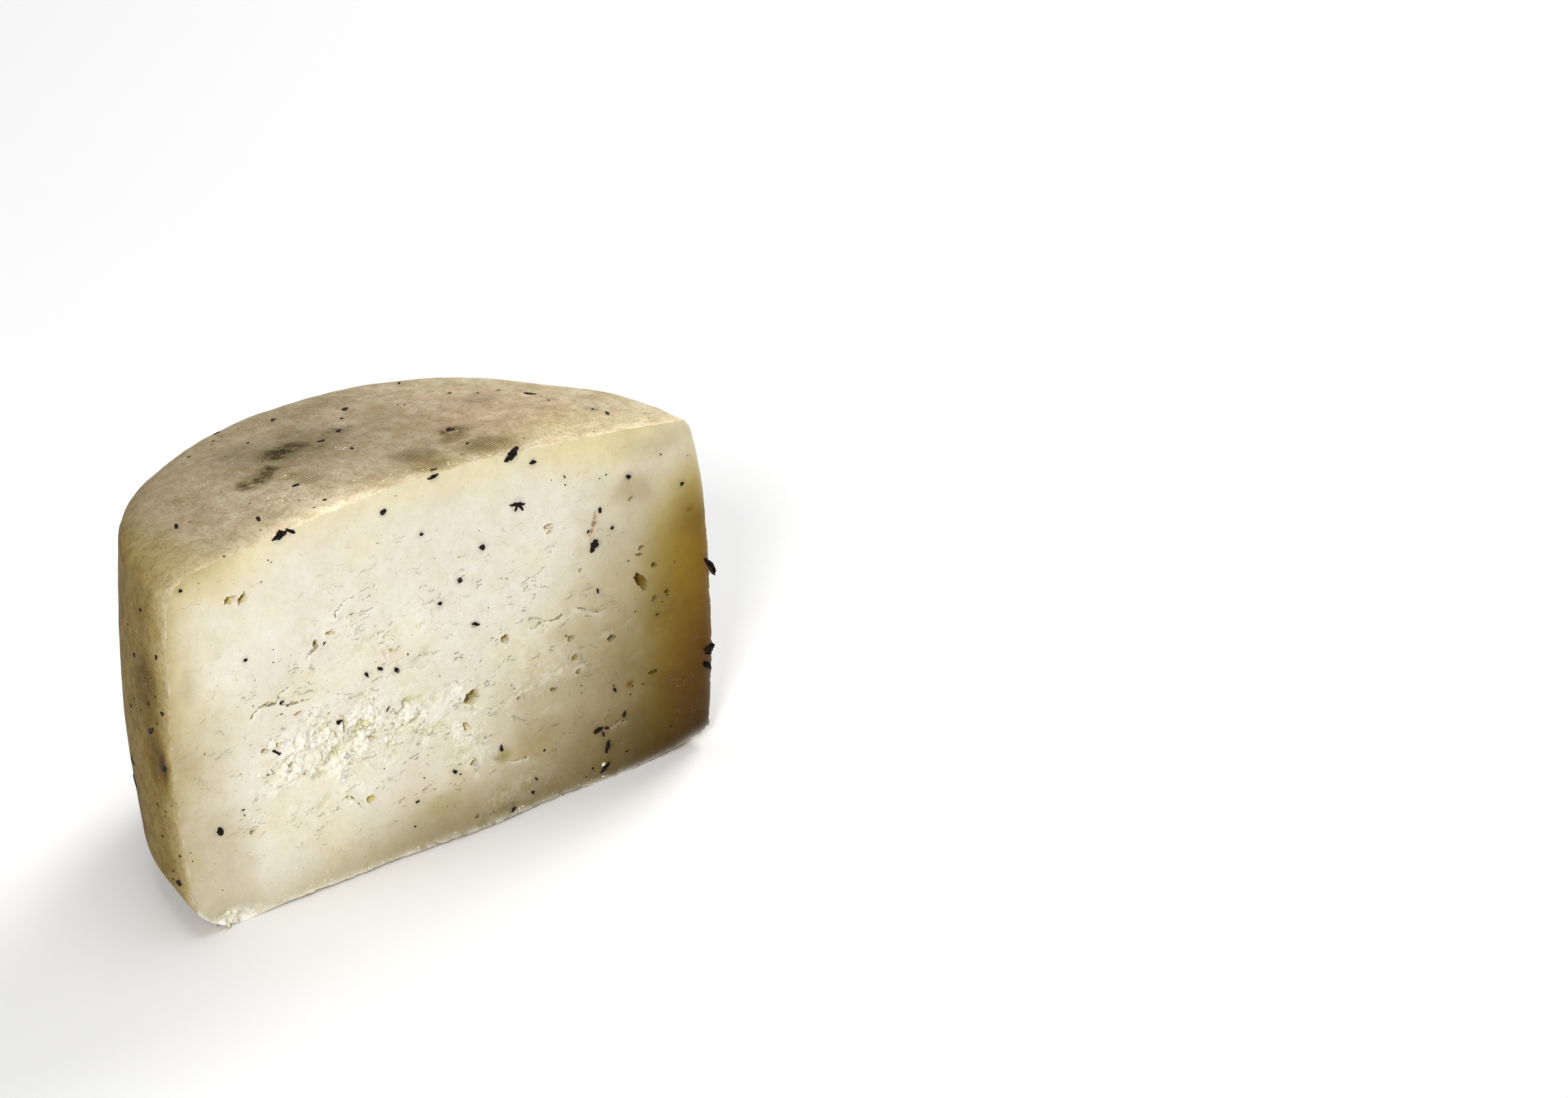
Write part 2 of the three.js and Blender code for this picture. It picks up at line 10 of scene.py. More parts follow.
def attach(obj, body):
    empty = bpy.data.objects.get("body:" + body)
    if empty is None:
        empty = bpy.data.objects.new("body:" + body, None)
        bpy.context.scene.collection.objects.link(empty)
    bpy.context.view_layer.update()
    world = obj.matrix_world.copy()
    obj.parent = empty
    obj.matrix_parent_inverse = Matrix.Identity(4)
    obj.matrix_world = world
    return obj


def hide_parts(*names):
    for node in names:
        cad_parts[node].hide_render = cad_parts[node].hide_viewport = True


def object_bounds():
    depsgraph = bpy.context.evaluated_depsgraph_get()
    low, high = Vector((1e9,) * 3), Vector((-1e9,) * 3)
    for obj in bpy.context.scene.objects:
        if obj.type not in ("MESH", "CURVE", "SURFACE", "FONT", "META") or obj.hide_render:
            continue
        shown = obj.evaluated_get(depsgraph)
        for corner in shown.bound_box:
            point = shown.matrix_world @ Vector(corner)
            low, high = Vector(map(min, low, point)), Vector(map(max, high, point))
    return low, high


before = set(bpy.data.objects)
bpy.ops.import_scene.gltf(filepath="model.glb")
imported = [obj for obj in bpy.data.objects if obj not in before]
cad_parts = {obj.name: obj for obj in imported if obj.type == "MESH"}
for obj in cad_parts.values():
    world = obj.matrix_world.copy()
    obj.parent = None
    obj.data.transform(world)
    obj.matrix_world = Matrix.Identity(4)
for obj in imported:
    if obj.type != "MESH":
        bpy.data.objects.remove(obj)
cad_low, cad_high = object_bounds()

# The half wheel is one block of pressed sheep's milk paste. It drained in a cloth, aged until its
# outside dried to a thin rind, and was cut down the middle with a knife. Rind and cut face are one
# closed skin, worked out in millimetres from the wheel's axis: X along the cut, Y behind it, Z up.

MM = 0.001
AXIS_X = -0.6
CUT_Y = -36.4
WHEEL_RADIUS = 72.8
WHEEL_HEIGHT = 93.4
DOME_FALL = 4.6
TOP_TILT = 0.023
LEFT_RIM = {
    "shoulder_wide": 19, "shoulder_tall": 6.5, "foot_wide": 25, "foot_tall": 11.9, "foot_radius": 72.1,
    "belly": 1.9,
}
RIGHT_RIM = {
    "shoulder_wide": 6.7, "shoulder_tall": 29, "foot_wide": 34, "foot_tall": 4.5, "foot_radius": 73.9,
    "belly": 1.6,
}
PRESSED_FOOT = {"foot_wide": 14, "foot_tall": 10.5}
PRESSED_REACH = 0.11

lattice = np.random.default_rng(7).random((32, 32, 32))


def uneven(x, y, z):
    """Smooth unevenness from -1 to 1, whose swells are one unit apart"""
    spots = np.broadcast_arrays(*(np.asarray(v, float) for v in (x, y, z)))
    cells = [np.floor(v).astype(int) for v in spots]
    eased = [(v - c) ** 2 * (3 - 2 * (v - c)) for v, c in zip(spots, cells)]
    total = np.zeros(spots[0].shape)
    for corner in np.ndindex(2, 2, 2):
        weight = np.ones(total.shape)
        for ease, far in zip(eased, corner):
            weight = weight * (ease if far else 1 - ease)
        total += weight * lattice[tuple((c + far) % 32 for c, far in zip(cells, corner))]
    return 2 * total - 1


def rugged(x, y, z):
    """The same with two finer layers on top"""
    fine = 0.5 * uneven(2.1 * x + 5, 2.1 * y + 3, 2.1 * z + 8)
    finest = 0.25 * uneven(4.3 * x + 1, 4.3 * y + 9, 4.3 * z + 4)
    return (uneven(x, y, z) + fine + finest) / 1.4


def rise(value, start, end):
    """0 up to start, 1 from end on, and a smooth step between"""
    share = np.clip((value - start) / (end - start), 0, 1)
    return share * share * (3 - 2 * share)


def mound(u, v, at_u, at_v, half_wide, half_tall):
    """1 at a spot, fading all round it"""
    return np.exp(-((u - at_u) / half_wide) ** 2 - ((v - at_v) / half_tall) ** 2)


def turned(u, v, degrees):
    """Places of a flat sheet, turned from its first axis towards its second"""
    cos, sin = math.cos(math.radians(degrees)), math.sin(math.radians(degrees))
    return u * cos - v * sin, u * sin + v * cos


def rim_at(angle):
    """The rim's sizes at an angle: 0 is the right end of the cut, pi the left end"""
    right = (1 + np.cos(angle)) / 2
    rim = {size: LEFT_RIM[size] + (RIGHT_RIM[size] - LEFT_RIM[size]) * right for size in LEFT_RIM}
    pressed = np.exp(-(((angle - np.pi) / PRESSED_REACH) ** 2))
    for size, squared in PRESSED_FOOT.items():
        rim[size] = rim[size] + (squared - rim[size]) * pressed
    rim["top_radius"] = WHEEL_RADIUS - rim["shoulder_wide"]
    return rim


def top_height(radius, angle):
    """The height of the domed and tilted top"""
    share = radius / rim_at(angle)["top_radius"]
    return WHEEL_HEIGHT - DOME_FALL * share * share - TOP_TILT * np.cos(angle) * radius


def wall_height(angle):
    """The height of the wall, up to where the shoulder begins"""
    rim = rim_at(angle)
    return top_height(rim["top_radius"], angle) - rim["shoulder_tall"]


def wall_radius(angle, share):
    """The radius at a share of the wall's height, foot and shoulder left out"""
    rim = rim_at(angle)
    lean = rim["foot_radius"] + (WHEEL_RADIUS - rim["foot_radius"]) * share
    return lean + rim["belly"] * 4 * share * (1 - share)


# The rind is laid out flat in three sheets: a half disc for the top and its shoulder, a strip for
# the wall and the foot, and a half disc for the underside, each about as long as on the wheel.
TOP_LONG = 60
SHOULDER_LONG = 26
WALL_LONG = 60
FOOT_LONG = 31
UNDER_LONG = 44
ROUND_RADIUS = 74

# The rind's swells and dents, how high and how far apart
RIND_SWELL = 0.45
RIND_SWELL_SIZE = 19
RIND_DENT = 0.13
RIND_DENT_SIZE = 4.5
CUT_HOLD = 1.5  # how deep behind the cut its relief still moves the rind
BACK_FIT = 0.9955  # these two keep the swells inside the wheel's own size
TOP_FIT = 0.9935


def swollen(radius, angle, height):
    """A place on the rind, moved by the swells that the cloth and the shelf left in it"""
    place = np.stack([radius * np.cos(angle), radius * np.sin(angle), height], -1)
    swell = RIND_SWELL * uneven(*(place.T / RIND_SWELL_SIZE))
    swell = swell + RIND_DENT * rugged(*(place.T / RIND_DENT_SIZE))
    return place * (1 + swell * rise(height, 1, 12) / WHEEL_RADIUS)[:, None] * (1, BACK_FIT, TOP_FIT)


def on_top(across, behind):
    """The top and its shoulder, from its flat sheet"""
    out = np.hypot(across, behind)
    angle = np.arctan2(behind, across)
    rim = rim_at(angle)
    turn = np.clip((out - TOP_LONG) / SHOULDER_LONG, 0, 1) * np.pi / 2
    flat_radius = rim["top_radius"] * np.minimum(out / TOP_LONG, 1)
    radius = flat_radius + rim["shoulder_wide"] * np.sin(turn)
    height = top_height(flat_radius, angle) - rim["shoulder_tall"] * (1 - np.cos(turn))
    return swollen(radius, angle, height)


def on_wall(along, height_along):
    """The wall and the foot, from their flat strip, whose heights run down from 0"""
    angle = along / ROUND_RADIUS
    rim = rim_at(angle)
    share = 1 - np.clip(-height_along / WALL_LONG, 0, 1)
    turn = np.clip((-height_along - WALL_LONG) / FOOT_LONG, 0, 1) * np.pi / 2
    radius = wall_radius(angle, share) - rim["foot_wide"] * (1 - np.cos(turn))
    height = rim["foot_tall"] * (1 - np.sin(turn)) + (wall_height(angle) - rim["foot_tall"]) * share
    return swollen(radius, angle, height)


def on_underside(across, behind):
    """The flat underside, from its flat sheet"""
    angle = np.arctan2(behind, across)
    rim = rim_at(angle)
    radius = (rim["foot_radius"] - rim["foot_wide"]) * np.hypot(across, behind) / UNDER_LONG
    return swollen(radius, angle, np.zeros_like(radius))


# The cut face. Where the knife dragged, the paste tore into flakes and crumbs, with thin tears, drag
# marks and a shallow step round them. At the foot the cut bows out a little and ends in a ragged lip.

# Torn places: x, z, half width, half height and roughness
TORN_PLACES = [
    (-31, 36, 24, 9.5, 0.85),
    (-63, 1.6, 10, 3.2, 0.5),
    (4, 24, 7, 9, 0.35),
    (-33, 64, 9, 5, 0.3),
    (-20, 57, 12, 4, 0.2),
    (16, 6, 13, 6, 0.12),
    (-8, 34, 15, 8, 0.4),
    (-34, 22, 15, 4.5, 0.3),
    (26, 36, 14, 9, 0.16),
]
TORN_DEEP = 2.6
TORN_PROUD = 1.1
CUT_WANDER = 0.22
CUT_WANDER_SIZE = 24
CUT_GRAIN = 0.05
FOOT_BOW = {"proud": 1.1, "x": 7, "half_wide": 13, "tall": 9}
KNIFE_STEP = {"deep": 0.3, "z": 44.5, "x": -42, "half_wide": 26}
LIP_PROUD = 0.75
FOOT_LIFT = 0.9
LIP_TALL = 0.6
FOOT_TATTER = 0.25
MOST_PROUD = 2.3
FLAKE_THICK = 0.17
CRUMB_SIZES = {2.4: 0.12, 0.9: 0.09}
DRAG_TURN = 8
DRAG_LONG = 3.4
DRAG_WIDE = 0.62
DRAG_PROUD = 0.08
LIPS_APART = 4
LIP_HIGH = 0.36
NOTCH_DEEP = 0.1
NOTCH_SHARE = 0.1  # how much of the way from lip to lip its notch takes
CRACK_LIP = {"high": 0.24, "fade": 0.8}

# Eyes in the cut face: x, z, wide, tall, turn in degrees, deep
EYES = [
    (4.4, 34.7, 3.7, 4.2, 20, 3.2), (14.3, 46.7, 2.3, 1.9, 35, 2.6), (2.7, 27.8, 1.6, 3.2, 35, 1.7),
    (4, 17.9, 2, 1.4, 0, 1.6), (27.4, 70.9, 2.8, 1.3, -8, 2), (27.6, 69.3, 2, 0.9, 5, 0.9),
    (53.4, 49, 2.6, 6, 40, 2.8), (57.6, 51.7, 2.1, 1.3, -20, 1.5), (54, 57.3, 2.1, 0.9, 5, 1.6),
    (53.6, 55.7, 2.2, 0.9, -8, 1.1), (57.6, 43, 1.2, 1.9, -20, 1.1), (61.4, 43.5, 1.6, 1.1, 10, 1.4),
    (44.7, 36.7, 2.4, 1.7, 10, 2), (51.2, 70.8, 1.6, 0.9, 35, 1.2), (33, 40.4, 2.3, 1.6, -15, 1),
    (33.9, 35.2, 1.7, 1.6, 0, 1.1), (34.9, 31.2, 1.6, 1.3, 10, 1.1), (27.7, 28.8, 2.2, 1, -20, 1.2),
    (17.8, 30, 1.1, 1.1, 0, 0.8), (36.2, 57, 1.3, 1.2, 0, 0.9), (57, 23.7, 3, 1.3, 5, 1),
    (-57.4, 79.4, 3.4, 2, 12, 2), (-54.3, 78.8, 2.2, 2.6, -35, 2.6), (-44.5, 34.4, 1.5, 1.9, 0, 2.2),
    (-36.4, 62, 1.6, 2.2, 20, 2), (-32.6, 63.3, 3.2, 1, -18, 1.2), (-50.4, 51.6, 3, 0.9, 18, 1.4),
    (-48.4, 51.1, 1.3, 1, 0, 1.2), (-42.2, 46.6, 2.4, 1, 5, 1.3), (-51.2, 40.2, 2, 1.2, 5, 1.2),
    (-47.4, 40.8, 2.2, 1.5, 10, 1.4), (-29.9, 38.9, 1.1, 3.9, 6, 2.2), (-33.7, 43.5, 1.1, 0.8, 0, 0.9),
    (-22.9, 33.5, 2.4, 1.4, -20, 1.6), (-24, 18.3, 2.7, 1.9, 15, 1.3), (-29.6, 20.7, 2.8, 0.8, -28, 1.1),
    (-55.5, 21.3, 1.2, 1.4, 30, 1.2), (-16.8, 53.9, 1, 1.2, 30, 1.1), (-41, 31.2, 1, 2, 20, 0.9),
    (-24.2, 37.7, 3, 2.2, 0, 0.7), (4.3, 3.9, 1.3, 0.9, 10, 0.9),
]
EYE_FOOT = 0.84  # where in the flat sheet an eye's wall ends, as a share of its half width
EYE_FLOOR = 0.95  # and how wide its floor then is on the wheel
EYE_WALL = 0.68  # how much of its depth its wall takes
EYE_BOWL = 0.28
EYE_LIP = 0.1
EYE_STEP = 0.26

# Cracks: how wide, how deep, then the way that each runs as x, z pairs
CRACKS = [
    (0.7, 0.52, (-53.6, 49.4), (-52.3, 50.9), (-50.8, 51.5), (-49.4, 50.9), (-47, 50.9), (-45.6, 50.2)),
    (0.6, 0.4, (-45.6, 50.2), (-44.2, 49.5), (-42, 49.6), (-39, 49)),
    (0.6, 0.4, (-46.9, 51.2), (-46.5, 52.6), (-44.4, 53.5)),
    (0.6, 0.4, (-39, 58.9), (-37.7, 60.2), (-36.2, 60.7), (-35.4, 61.3)),
    (0.5, 0.32, (-31, 66.5), (-30.6, 68.1), (-29.4, 68.6), (-28.5, 69.8), (-27.6, 70.4), (-25.4, 70.4)),
    (0.5, 0.32, (21.9, 47.1), (23.2, 46.5), (24.6, 47.3), (27, 47.1), (28.8, 46.8), (30.6, 47.3)),
    (0.5, 0.32, (35.2, 47.6), (36.9, 47), (38.4, 46.2), (39.8, 45.2), (41.4, 44.4)),
    (0.5, 0.28, (-26.4, 17.3), (-28.2, 19.2), (-29, 20.3)),
    (0.5, 0.28, (15.2, 14.4), (17, 14.1), (19, 13.8)),
    (0.5, 0.28, (44.8, 13.1), (46.2, 14), (48, 13.4)),
    (1, 0.24, (41.4, 70.4), (41, 68.6), (40.5, 67), (39.6, 65)),
]
# Thin ridges that the knife's edge left standing, as x, z pairs
RIDGES = [
    ((-39.5, 6.8), (-38.2, 6.3), (-36.3, 5.4), (-35.6, 3), (-34.6, 1.2)),
    ((-71, 52.8), (-66, 52.6)),
    ((-63.5, 44.3), (-57, 44.2), (-50, 43.8)),
    ((-66, 37.6), (-58, 38.4), (-50, 40.6), (-46, 41.5)),
    ((-38, 76), (-33, 74), (-31.5, 71)),
    ((-22, 56), (-17, 58.4), (-16, 58.7)),
    ((-5, 55.4), (4, 55.9), (12, 55.4), (20, 55.8)),
    ((-48, 26), (-43, 23)),
    ((-46, 20), (-44, 17.8), (-42, 16.5)),
    ((-12, 37), (-4, 39.6), (3, 41.5), (12, 43)),
    ((-8, 33.5), (-2, 37.5), (6, 39.6)),
]
RIDGE_PROUD = 0.17
RIDGE_WIDE = 0.3


def to_route(x, z, route):
    """The distance from places on the cut to a route over it, and whether they lie below it"""
    nearest = np.full(x.shape, 99.0)
    below = np.zeros(x.shape, bool)
    for (from_x, from_z), (to_x, to_z) in zip(route, route[1:]):
        run_x, run_z = to_x - from_x, to_z - from_z
        share = ((x - from_x) * run_x + (z - from_z) * run_z) / (run_x ** 2 + run_z ** 2)
        off_x, off_z = x - from_x - np.clip(share, 0, 1) * run_x, z - from_z - np.clip(share, 0, 1) * run_z
        away = np.hypot(off_x, off_z)
        below = np.where(away < nearest, off_z < 0, below)
        nearest = np.minimum(nearest, away)
    return nearest, below


def jagged(x, z):
    """Places shifted unevenly, so that what follows a route through them runs jaggedly"""
    return x + 0.7 * rugged(x / 2, 2.9, z / 2), z + 0.7 * rugged(x / 2, 6.4, z / 2)


def along_drag(x, z):
    """Places on the cut, turned into how far along and how far across the knife's drag they lie"""
    return turned(x, z, -DRAG_TURN)


def crumbled(x, z):
    """Broken paste: plates that lie on each other like shingles, with crumbs on them. Gives how deep
    each place is, from 0 to 1, and how near it is to the edge of a plate"""
    along, across = along_drag(x, z)
    level = 4 * rugged(along / 6.5, 8.2, across / 3.4) + 1.5 * rugged(x / 1.7, 4.7, z / 1.5)
    plate = np.floor(level)
    share = level - plate
    creased = np.zeros(x.shape)
    for size, part in CRUMB_SIZES.items():
        lump = rugged(x / size + 3.1 * size, 8.2 * size, z / (0.85 * size))
        creased = creased + part * (1 - np.minimum(2.6 * np.abs(lump), 1))
    edge = rise(share, 0, 0.12) * (1 - rise(share, 0.2, 0.7))
    return np.clip(0.5 - FLAKE_THICK * (plate + rise(share, 0, 0.2)) + creased, 0, 1), edge


def torn_here(x, z):
    """How torn the cut is at each place, from 0 to the roughness of its torn place"""
    torn = np.zeros(x.shape)
    ragged = 0.55 * rugged(x / 4.5, 2.2, z / 3.2)
    for at_x, at_z, half_wide, half_tall, rough in TORN_PLACES:
        inside = 1 - np.hypot((x - at_x) / half_wide, (z - at_z) / half_tall) + ragged
        torn = torn + rough * np.clip(2 * inside, 0, 1)
    return torn


def dragged(x, z):
    """Where the knife dragged the paste up in thin streaks, from 0 to 1"""
    along, across = along_drag(x, z)
    bent = across + 0.8 * uneven(along / 9, 4.4, across / 9)
    streaks = rise(uneven(along / DRAG_LONG, 7.7, bent / DRAG_WIDE), 0.25, 0.75)
    where = 0.3 + 0.7 * rise(rugged(x / 11, 9.9, z / 11), -0.3, 0.35)
    return streaks * where * (0.25 + 0.75 * mound(x, z, -8, 50, 44, 27))


def torn_lips(x, z):
    """The thin tears of the drag: a lip that rises to a sharp upper edge, and a notch above it"""
    along, across = along_drag(x, z)
    phase = across / LIPS_APART + 1.3 * rugged(along / 12, 3.3, across / 7)
    phase = phase + 0.1 * rugged(x / 1.1, 6.1, z / 1.1)
    line = np.floor(phase)
    share = phase - line
    notched = share < NOTCH_SHARE
    line = line - notched
    torn = rise(rugged(along / 5.5, 1.7 * line, 2.6), 0.05, 0.45) * ragged_zone(x, z)
    return np.where(notched, 0, share ** 5) * torn, notched * torn


def ragged_zone(x, z):
    """Where the knife dragged: most in the middle of the cut, least near its rim and low down"""
    return mound(x, z, -6, 42, 48, 27) * rise(np.minimum(z, 90 - z), 1, 9)


def over_foot(x, z):
    """The height over the cut's lower edge, which rises at both ends where the foot is rounded"""
    edge = np.zeros(np.shape(x))
    for rim, side in ((rim_at(0.0), x), (rim_at(np.pi), -x)):
        out = np.clip(1 - (rim["foot_radius"] - side) / rim["foot_wide"], 0, 1)
        edge = edge + rim["foot_tall"] * (1 - np.sqrt(1 - out ** 2))
    return np.maximum(z - edge, 0)


def foot_lift(x, behind):
    """How far the ragged foot of the cut stands off the table, and the underside just behind it"""
    ragged = np.clip(0.65 + 0.25 * rugged(x / 4, 8.8, 1.3) + 0.25 * rugged(x / 0.8, 2.8, 1.3), 0.2, 1.2)
    return FOOT_LIFT * ragged * rise(x, -58, -52) * rise(39 - x, 0, 5) * np.exp(-((behind / 4) ** 2))


def relief(x, z):
    """How far the cut face stands behind its plane, eyes left out"""
    above = over_foot(x, z)
    depth = CUT_WANDER * uneven(x / CUT_WANDER_SIZE, 3.7, z / CUT_WANDER_SIZE)
    bow = np.exp(-(((x - FOOT_BOW["x"]) / FOOT_BOW["half_wide"]) ** 2) - above / FOOT_BOW["tall"])
    step = np.exp(-(((x - KNIFE_STEP["x"]) / KNIFE_STEP["half_wide"]) ** 2))
    step = step * rise(KNIFE_STEP["z"] - z, 0, 1.2)
    depth = depth - FOOT_BOW["proud"] * bow + KNIFE_STEP["deep"] * step
    depth = depth + torn_here(x, z) * (TORN_DEEP * crumbled(x, z)[0] - TORN_PROUD)
    lip, notch = torn_lips(x, z)
    depth = depth - LIP_HIGH * lip + NOTCH_DEEP * notch
    depth = depth - DRAG_PROUD * dragged(x, z)
    depth = depth + CUT_GRAIN * rugged(x / 1.3, 5.5, z / 1.1)
    for wide, deep, *route in CRACKS:
        away, below = to_route(*jagged(x, z), route)
        depth = depth + deep * rise(-away, -0.5 * wide, -0.15 * wide)
        depth = depth - CRACK_LIP["high"] * below * np.exp(-away / CRACK_LIP["fade"])
    for route in RIDGES:
        away, _ = to_route(*jagged(x, z), route)
        proud = RIDGE_PROUD * (0.6 + 0.4 * uneven(x / 1.5, 0.4, z))
        depth = depth - proud * np.exp(-((away / RIDGE_WIDE) ** 2))
    lip = 0.6 + 0.3 * rugged(x / 2.3, 5.1, 0.4) + 0.4 * rugged(x / 0.7, 5.1, 1.4)
    lip = np.exp(-above / LIP_TALL) * np.clip(lip, 0, 1.3)
    tatter = FOOT_TATTER * np.exp(-above / 2.2) * rugged(x / 0.8, 1.1, z / 0.8)
    return np.maximum(depth - LIP_PROUD * lip + tatter, -MOST_PROUD)


draw = np.random.default_rng(41)
eye_wobbles = draw.uniform(-1, 1, (len(EYES), 5, 2))


def in_eye(eye, wobble, x, z):
    """Each place's distance from an eye's middle, 1 at its uneven outline"""
    at_x, at_z, wide, tall, turn, _ = eye
    across, up = turned(x - at_x, z - at_z, -turn)
    u, v = across / (wide / 2), up / (tall / 2)
    return np.hypot(u, v) / eye_outline(wobble, np.arctan2(v, u))


def eye_outline(wobble, angle):
    """The uneven outline of an eye: a few straight sides with short rough bits on them"""
    outline = np.full(np.shape(angle), 1.25)
    for side, (sway, turn) in enumerate(wobble):
        facing = np.cos(angle - math.radians(72 * side + 30 * turn))
        outline = np.minimum(outline, (0.86 + 0.14 * sway) / np.maximum(facing, 0.2))
    for (_, turn), corners in zip(wobble, (6, 9)):
        outline = outline + 0.06 * np.sin(corners * angle + 3 * turn)
    return outline


def eye_ring(eye, wobble, scale):
    """Places round an eye, at a share of its outline, in the flat sheet"""
    at_x, at_z, wide, tall, turn, _ = eye
    count = max(12, int(math.pi * (wide + tall) / 2 * scale / EYE_STEP))
    angle = np.arange(count) * 2 * np.pi / count
    reach = eye_outline(wobble, angle) * scale
    across, up = turned(reach * np.cos(angle) * wide / 2, reach * np.sin(angle) * tall / 2, turn)
    return np.stack([at_x + across, at_z + up], -1)


def on_cut(x, z):
    """The cut face with its eyes, from its flat sheet"""
    depth = relief(x, z)
    place = np.stack([x, depth, z], -1)
    for eye, wobble in zip(EYES, eye_wobbles):
        at_x, at_z, wide, tall, _, deep = eye
        near = np.hypot(x - at_x, z - at_z) < max(wide, tall)
        out = in_eye(eye, wobble, x[near], z[near])
        wall = np.clip((1 - out) / (1 - EYE_FOOT), 0, 1)
        bowl = np.clip(1 - (out / EYE_FOOT) ** 2, 0, 1)
        floor = EYE_BOWL * bowl * (1 + rugged(x[near] / 0.9, 3.3, z[near] / 0.9))
        sunk = deep * (EYE_WALL * wall + floor)
        lip = EYE_LIP * np.exp(-((out - 1.05) / 0.12) ** 2) * (1 + rugged(x[near], 6.6, z[near]))
        stretch = np.where(out < EYE_FOOT, EYE_FLOOR / EYE_FOOT, 1 + (EYE_FLOOR / EYE_FOOT - 1) * wall)
        stretch = np.where(out < 1, stretch, 1)
        place[near, 0] = at_x + (x[near] - at_x) * stretch
        place[near, 1] += sunk - lip
        place[near, 2] = at_z + (z[near] - at_z) * stretch
    return place


def row(u, v):
    return np.stack([u, v], -1)


def steps(length, shortest, longest):
    """Marks from 0 to length, close at both ends and wider apart in the middle"""
    marks = [0.0]
    while marks[-1] < length:
        marks.append(marks[-1] + min(longest, shortest + 0.25 * min(marks[-1], length - marks[-1])))
    marks = np.array(marks)
    return marks * length / marks[-1]


def scattered(low, high, finest, wanted):
    """Places over a flat sheet, as far apart as wanted says, from a grid thinned out at random"""
    i, j = np.indices([int(long / finest) for long in np.subtract(high, low)])
    level = np.zeros(i.shape)
    for power in (2, 4, 8):
        level += (i % power == 0) & (j % power == 0)
    x = low[0] + finest * (i + 0.5)
    z = low[1] + finest * (j + 0.5)
    gap = wanted(x, z)
    kept = finest * 2 ** (level + draw.random(level.shape)) > gap * 1.15
    shift = draw.uniform(-0.22, 0.22, (2,) + i.shape) * np.minimum(gap, finest * 2 ** level)
    return row((x + shift[0])[kept], (z + shift[1])[kept])


def off_edge(places, edge):
    """How far each place of a flat sheet is from the nearest place of an edge"""
    tree = KDTree(len(edge))
    for number, (u, v) in enumerate(edge):
        tree.insert((u, v, 0), number)
    tree.balance()
    return np.array([tree.find((u, v, 0))[2] for u, v in places])


skin_places = []


def placed(places):
    """Adds corners to the skin and gives back their numbers"""
    first = sum(len(p) for p in skin_places)
    skin_places.append(places)
    return first + np.arange(len(places))


def held_to_cut(places):
    """Rind near the cut follows the cut face's relief"""
    hold = np.exp(-np.maximum(places[:, 1], 0) / CUT_HOLD)
    moved = places.copy()
    moved[:, 1] += hold * relief(places[:, 0], places[:, 2])
    return moved


def lifted_foot(places):
    """The underside near the cut follows the cut's ragged foot"""
    lift = foot_lift(places[:, 0], np.maximum(places[:, 1], 0))
    return places + np.outer(lift, (0, 0, 1))


def net(edge_numbers, edge, inner, inner_places):
    """Triangles of a flat sheet between its edge and the places in it, by their corner numbers"""
    flat = np.vstack([edge, inner])
    loop = [(i, (i + 1) % len(edge)) for i in range(len(edge))]
    sheet = delaunay_2d_cdt([Vector(place) for place in flat.tolist()], loop, [], 1, 1e-5)
    numbers = np.concatenate([edge_numbers, placed(inner_places)])
    back = np.array([first[0] for first in sheet[3]])[np.array(sheet[2])]
    return numbers[back], flat[back]


# The seams between the sheets: along the cut's edge all round, where the shoulder meets the wall,
# and where the foot meets the underside. The cut's edge is a little tattered.
EDGE_STEP = 0.45
RIND_STEP = 1.5
TATTER = 0.3

top_long = TOP_LONG + SHOULDER_LONG
wall_long = WALL_LONG + FOOT_LONG
round_long = math.pi * ROUND_RADIUS
top_marks = np.linspace(top_long, -top_long, int(2 * top_long / EDGE_STEP))
wall_marks = np.linspace(0, -wall_long, int(wall_long / EDGE_STEP))[1:]
under_marks = np.linspace(UNDER_LONG, -UNDER_LONG, int(2 * UNDER_LONG / EDGE_STEP))[1:-1]
ring_marks = steps(round_long, EDGE_STEP, RIND_STEP)[1:-1]
top_row = row(top_marks, 0 * top_marks)
right_row = row(0 * wall_marks, wall_marks)
left_row = right_row + (round_long, 0)
under_row = row(under_marks, 0 * under_marks)
ring_row = row(ring_marks, 0 * ring_marks)
foot_row = ring_row - (0, wall_long)


def cut_edge(places, inwards):
    """An edge of the cut, tattered a little inwards"""
    tattered = TATTER * np.clip(rugged(places[:, 0] / 0.7, 4.9, places[:, 2] / 0.7) + 0.1, 0, 1)
    return held_to_cut(places + np.outer(tattered, inwards))


top_seam = placed(cut_edge(on_top(*top_row.T), (0, 0, -1)))
right_seam = placed(cut_edge(on_wall(*right_row.T), (-1, 0, 0)))
left_seam = placed(cut_edge(on_wall(*left_row.T), (1, 0, 0)))
under_seam = placed(lifted_foot(held_to_cut(on_underside(*under_row.T))))
shoulder_seam = placed(held_to_cut(on_wall(*ring_row.T)))
foot_seam = placed(held_to_cut(on_wall(*foot_row.T)))
seam_places = np.vstack(skin_places)

face_seam = np.concatenate([left_seam[-1:], under_seam[::-1], right_seam[::-1], top_seam, left_seam[:-1]])
face_edge = seam_places[face_seam][:, [0, 2]]


# How far apart the cut face's corners are: where it is smooth, in a lip's rise, where it is torn,
# pitted or sharp, at a crack and at a ridge
SMOOTH_STEP = 0.52
LIP_STEP = 0.4
FINE_STEP = 0.3
CRACK_STEP = 0.27
RIDGE_STEP = 0.34
CUT_FINEST = 0.26
CUT_CLEAR = 0.24  # how far its corners keep off its edge


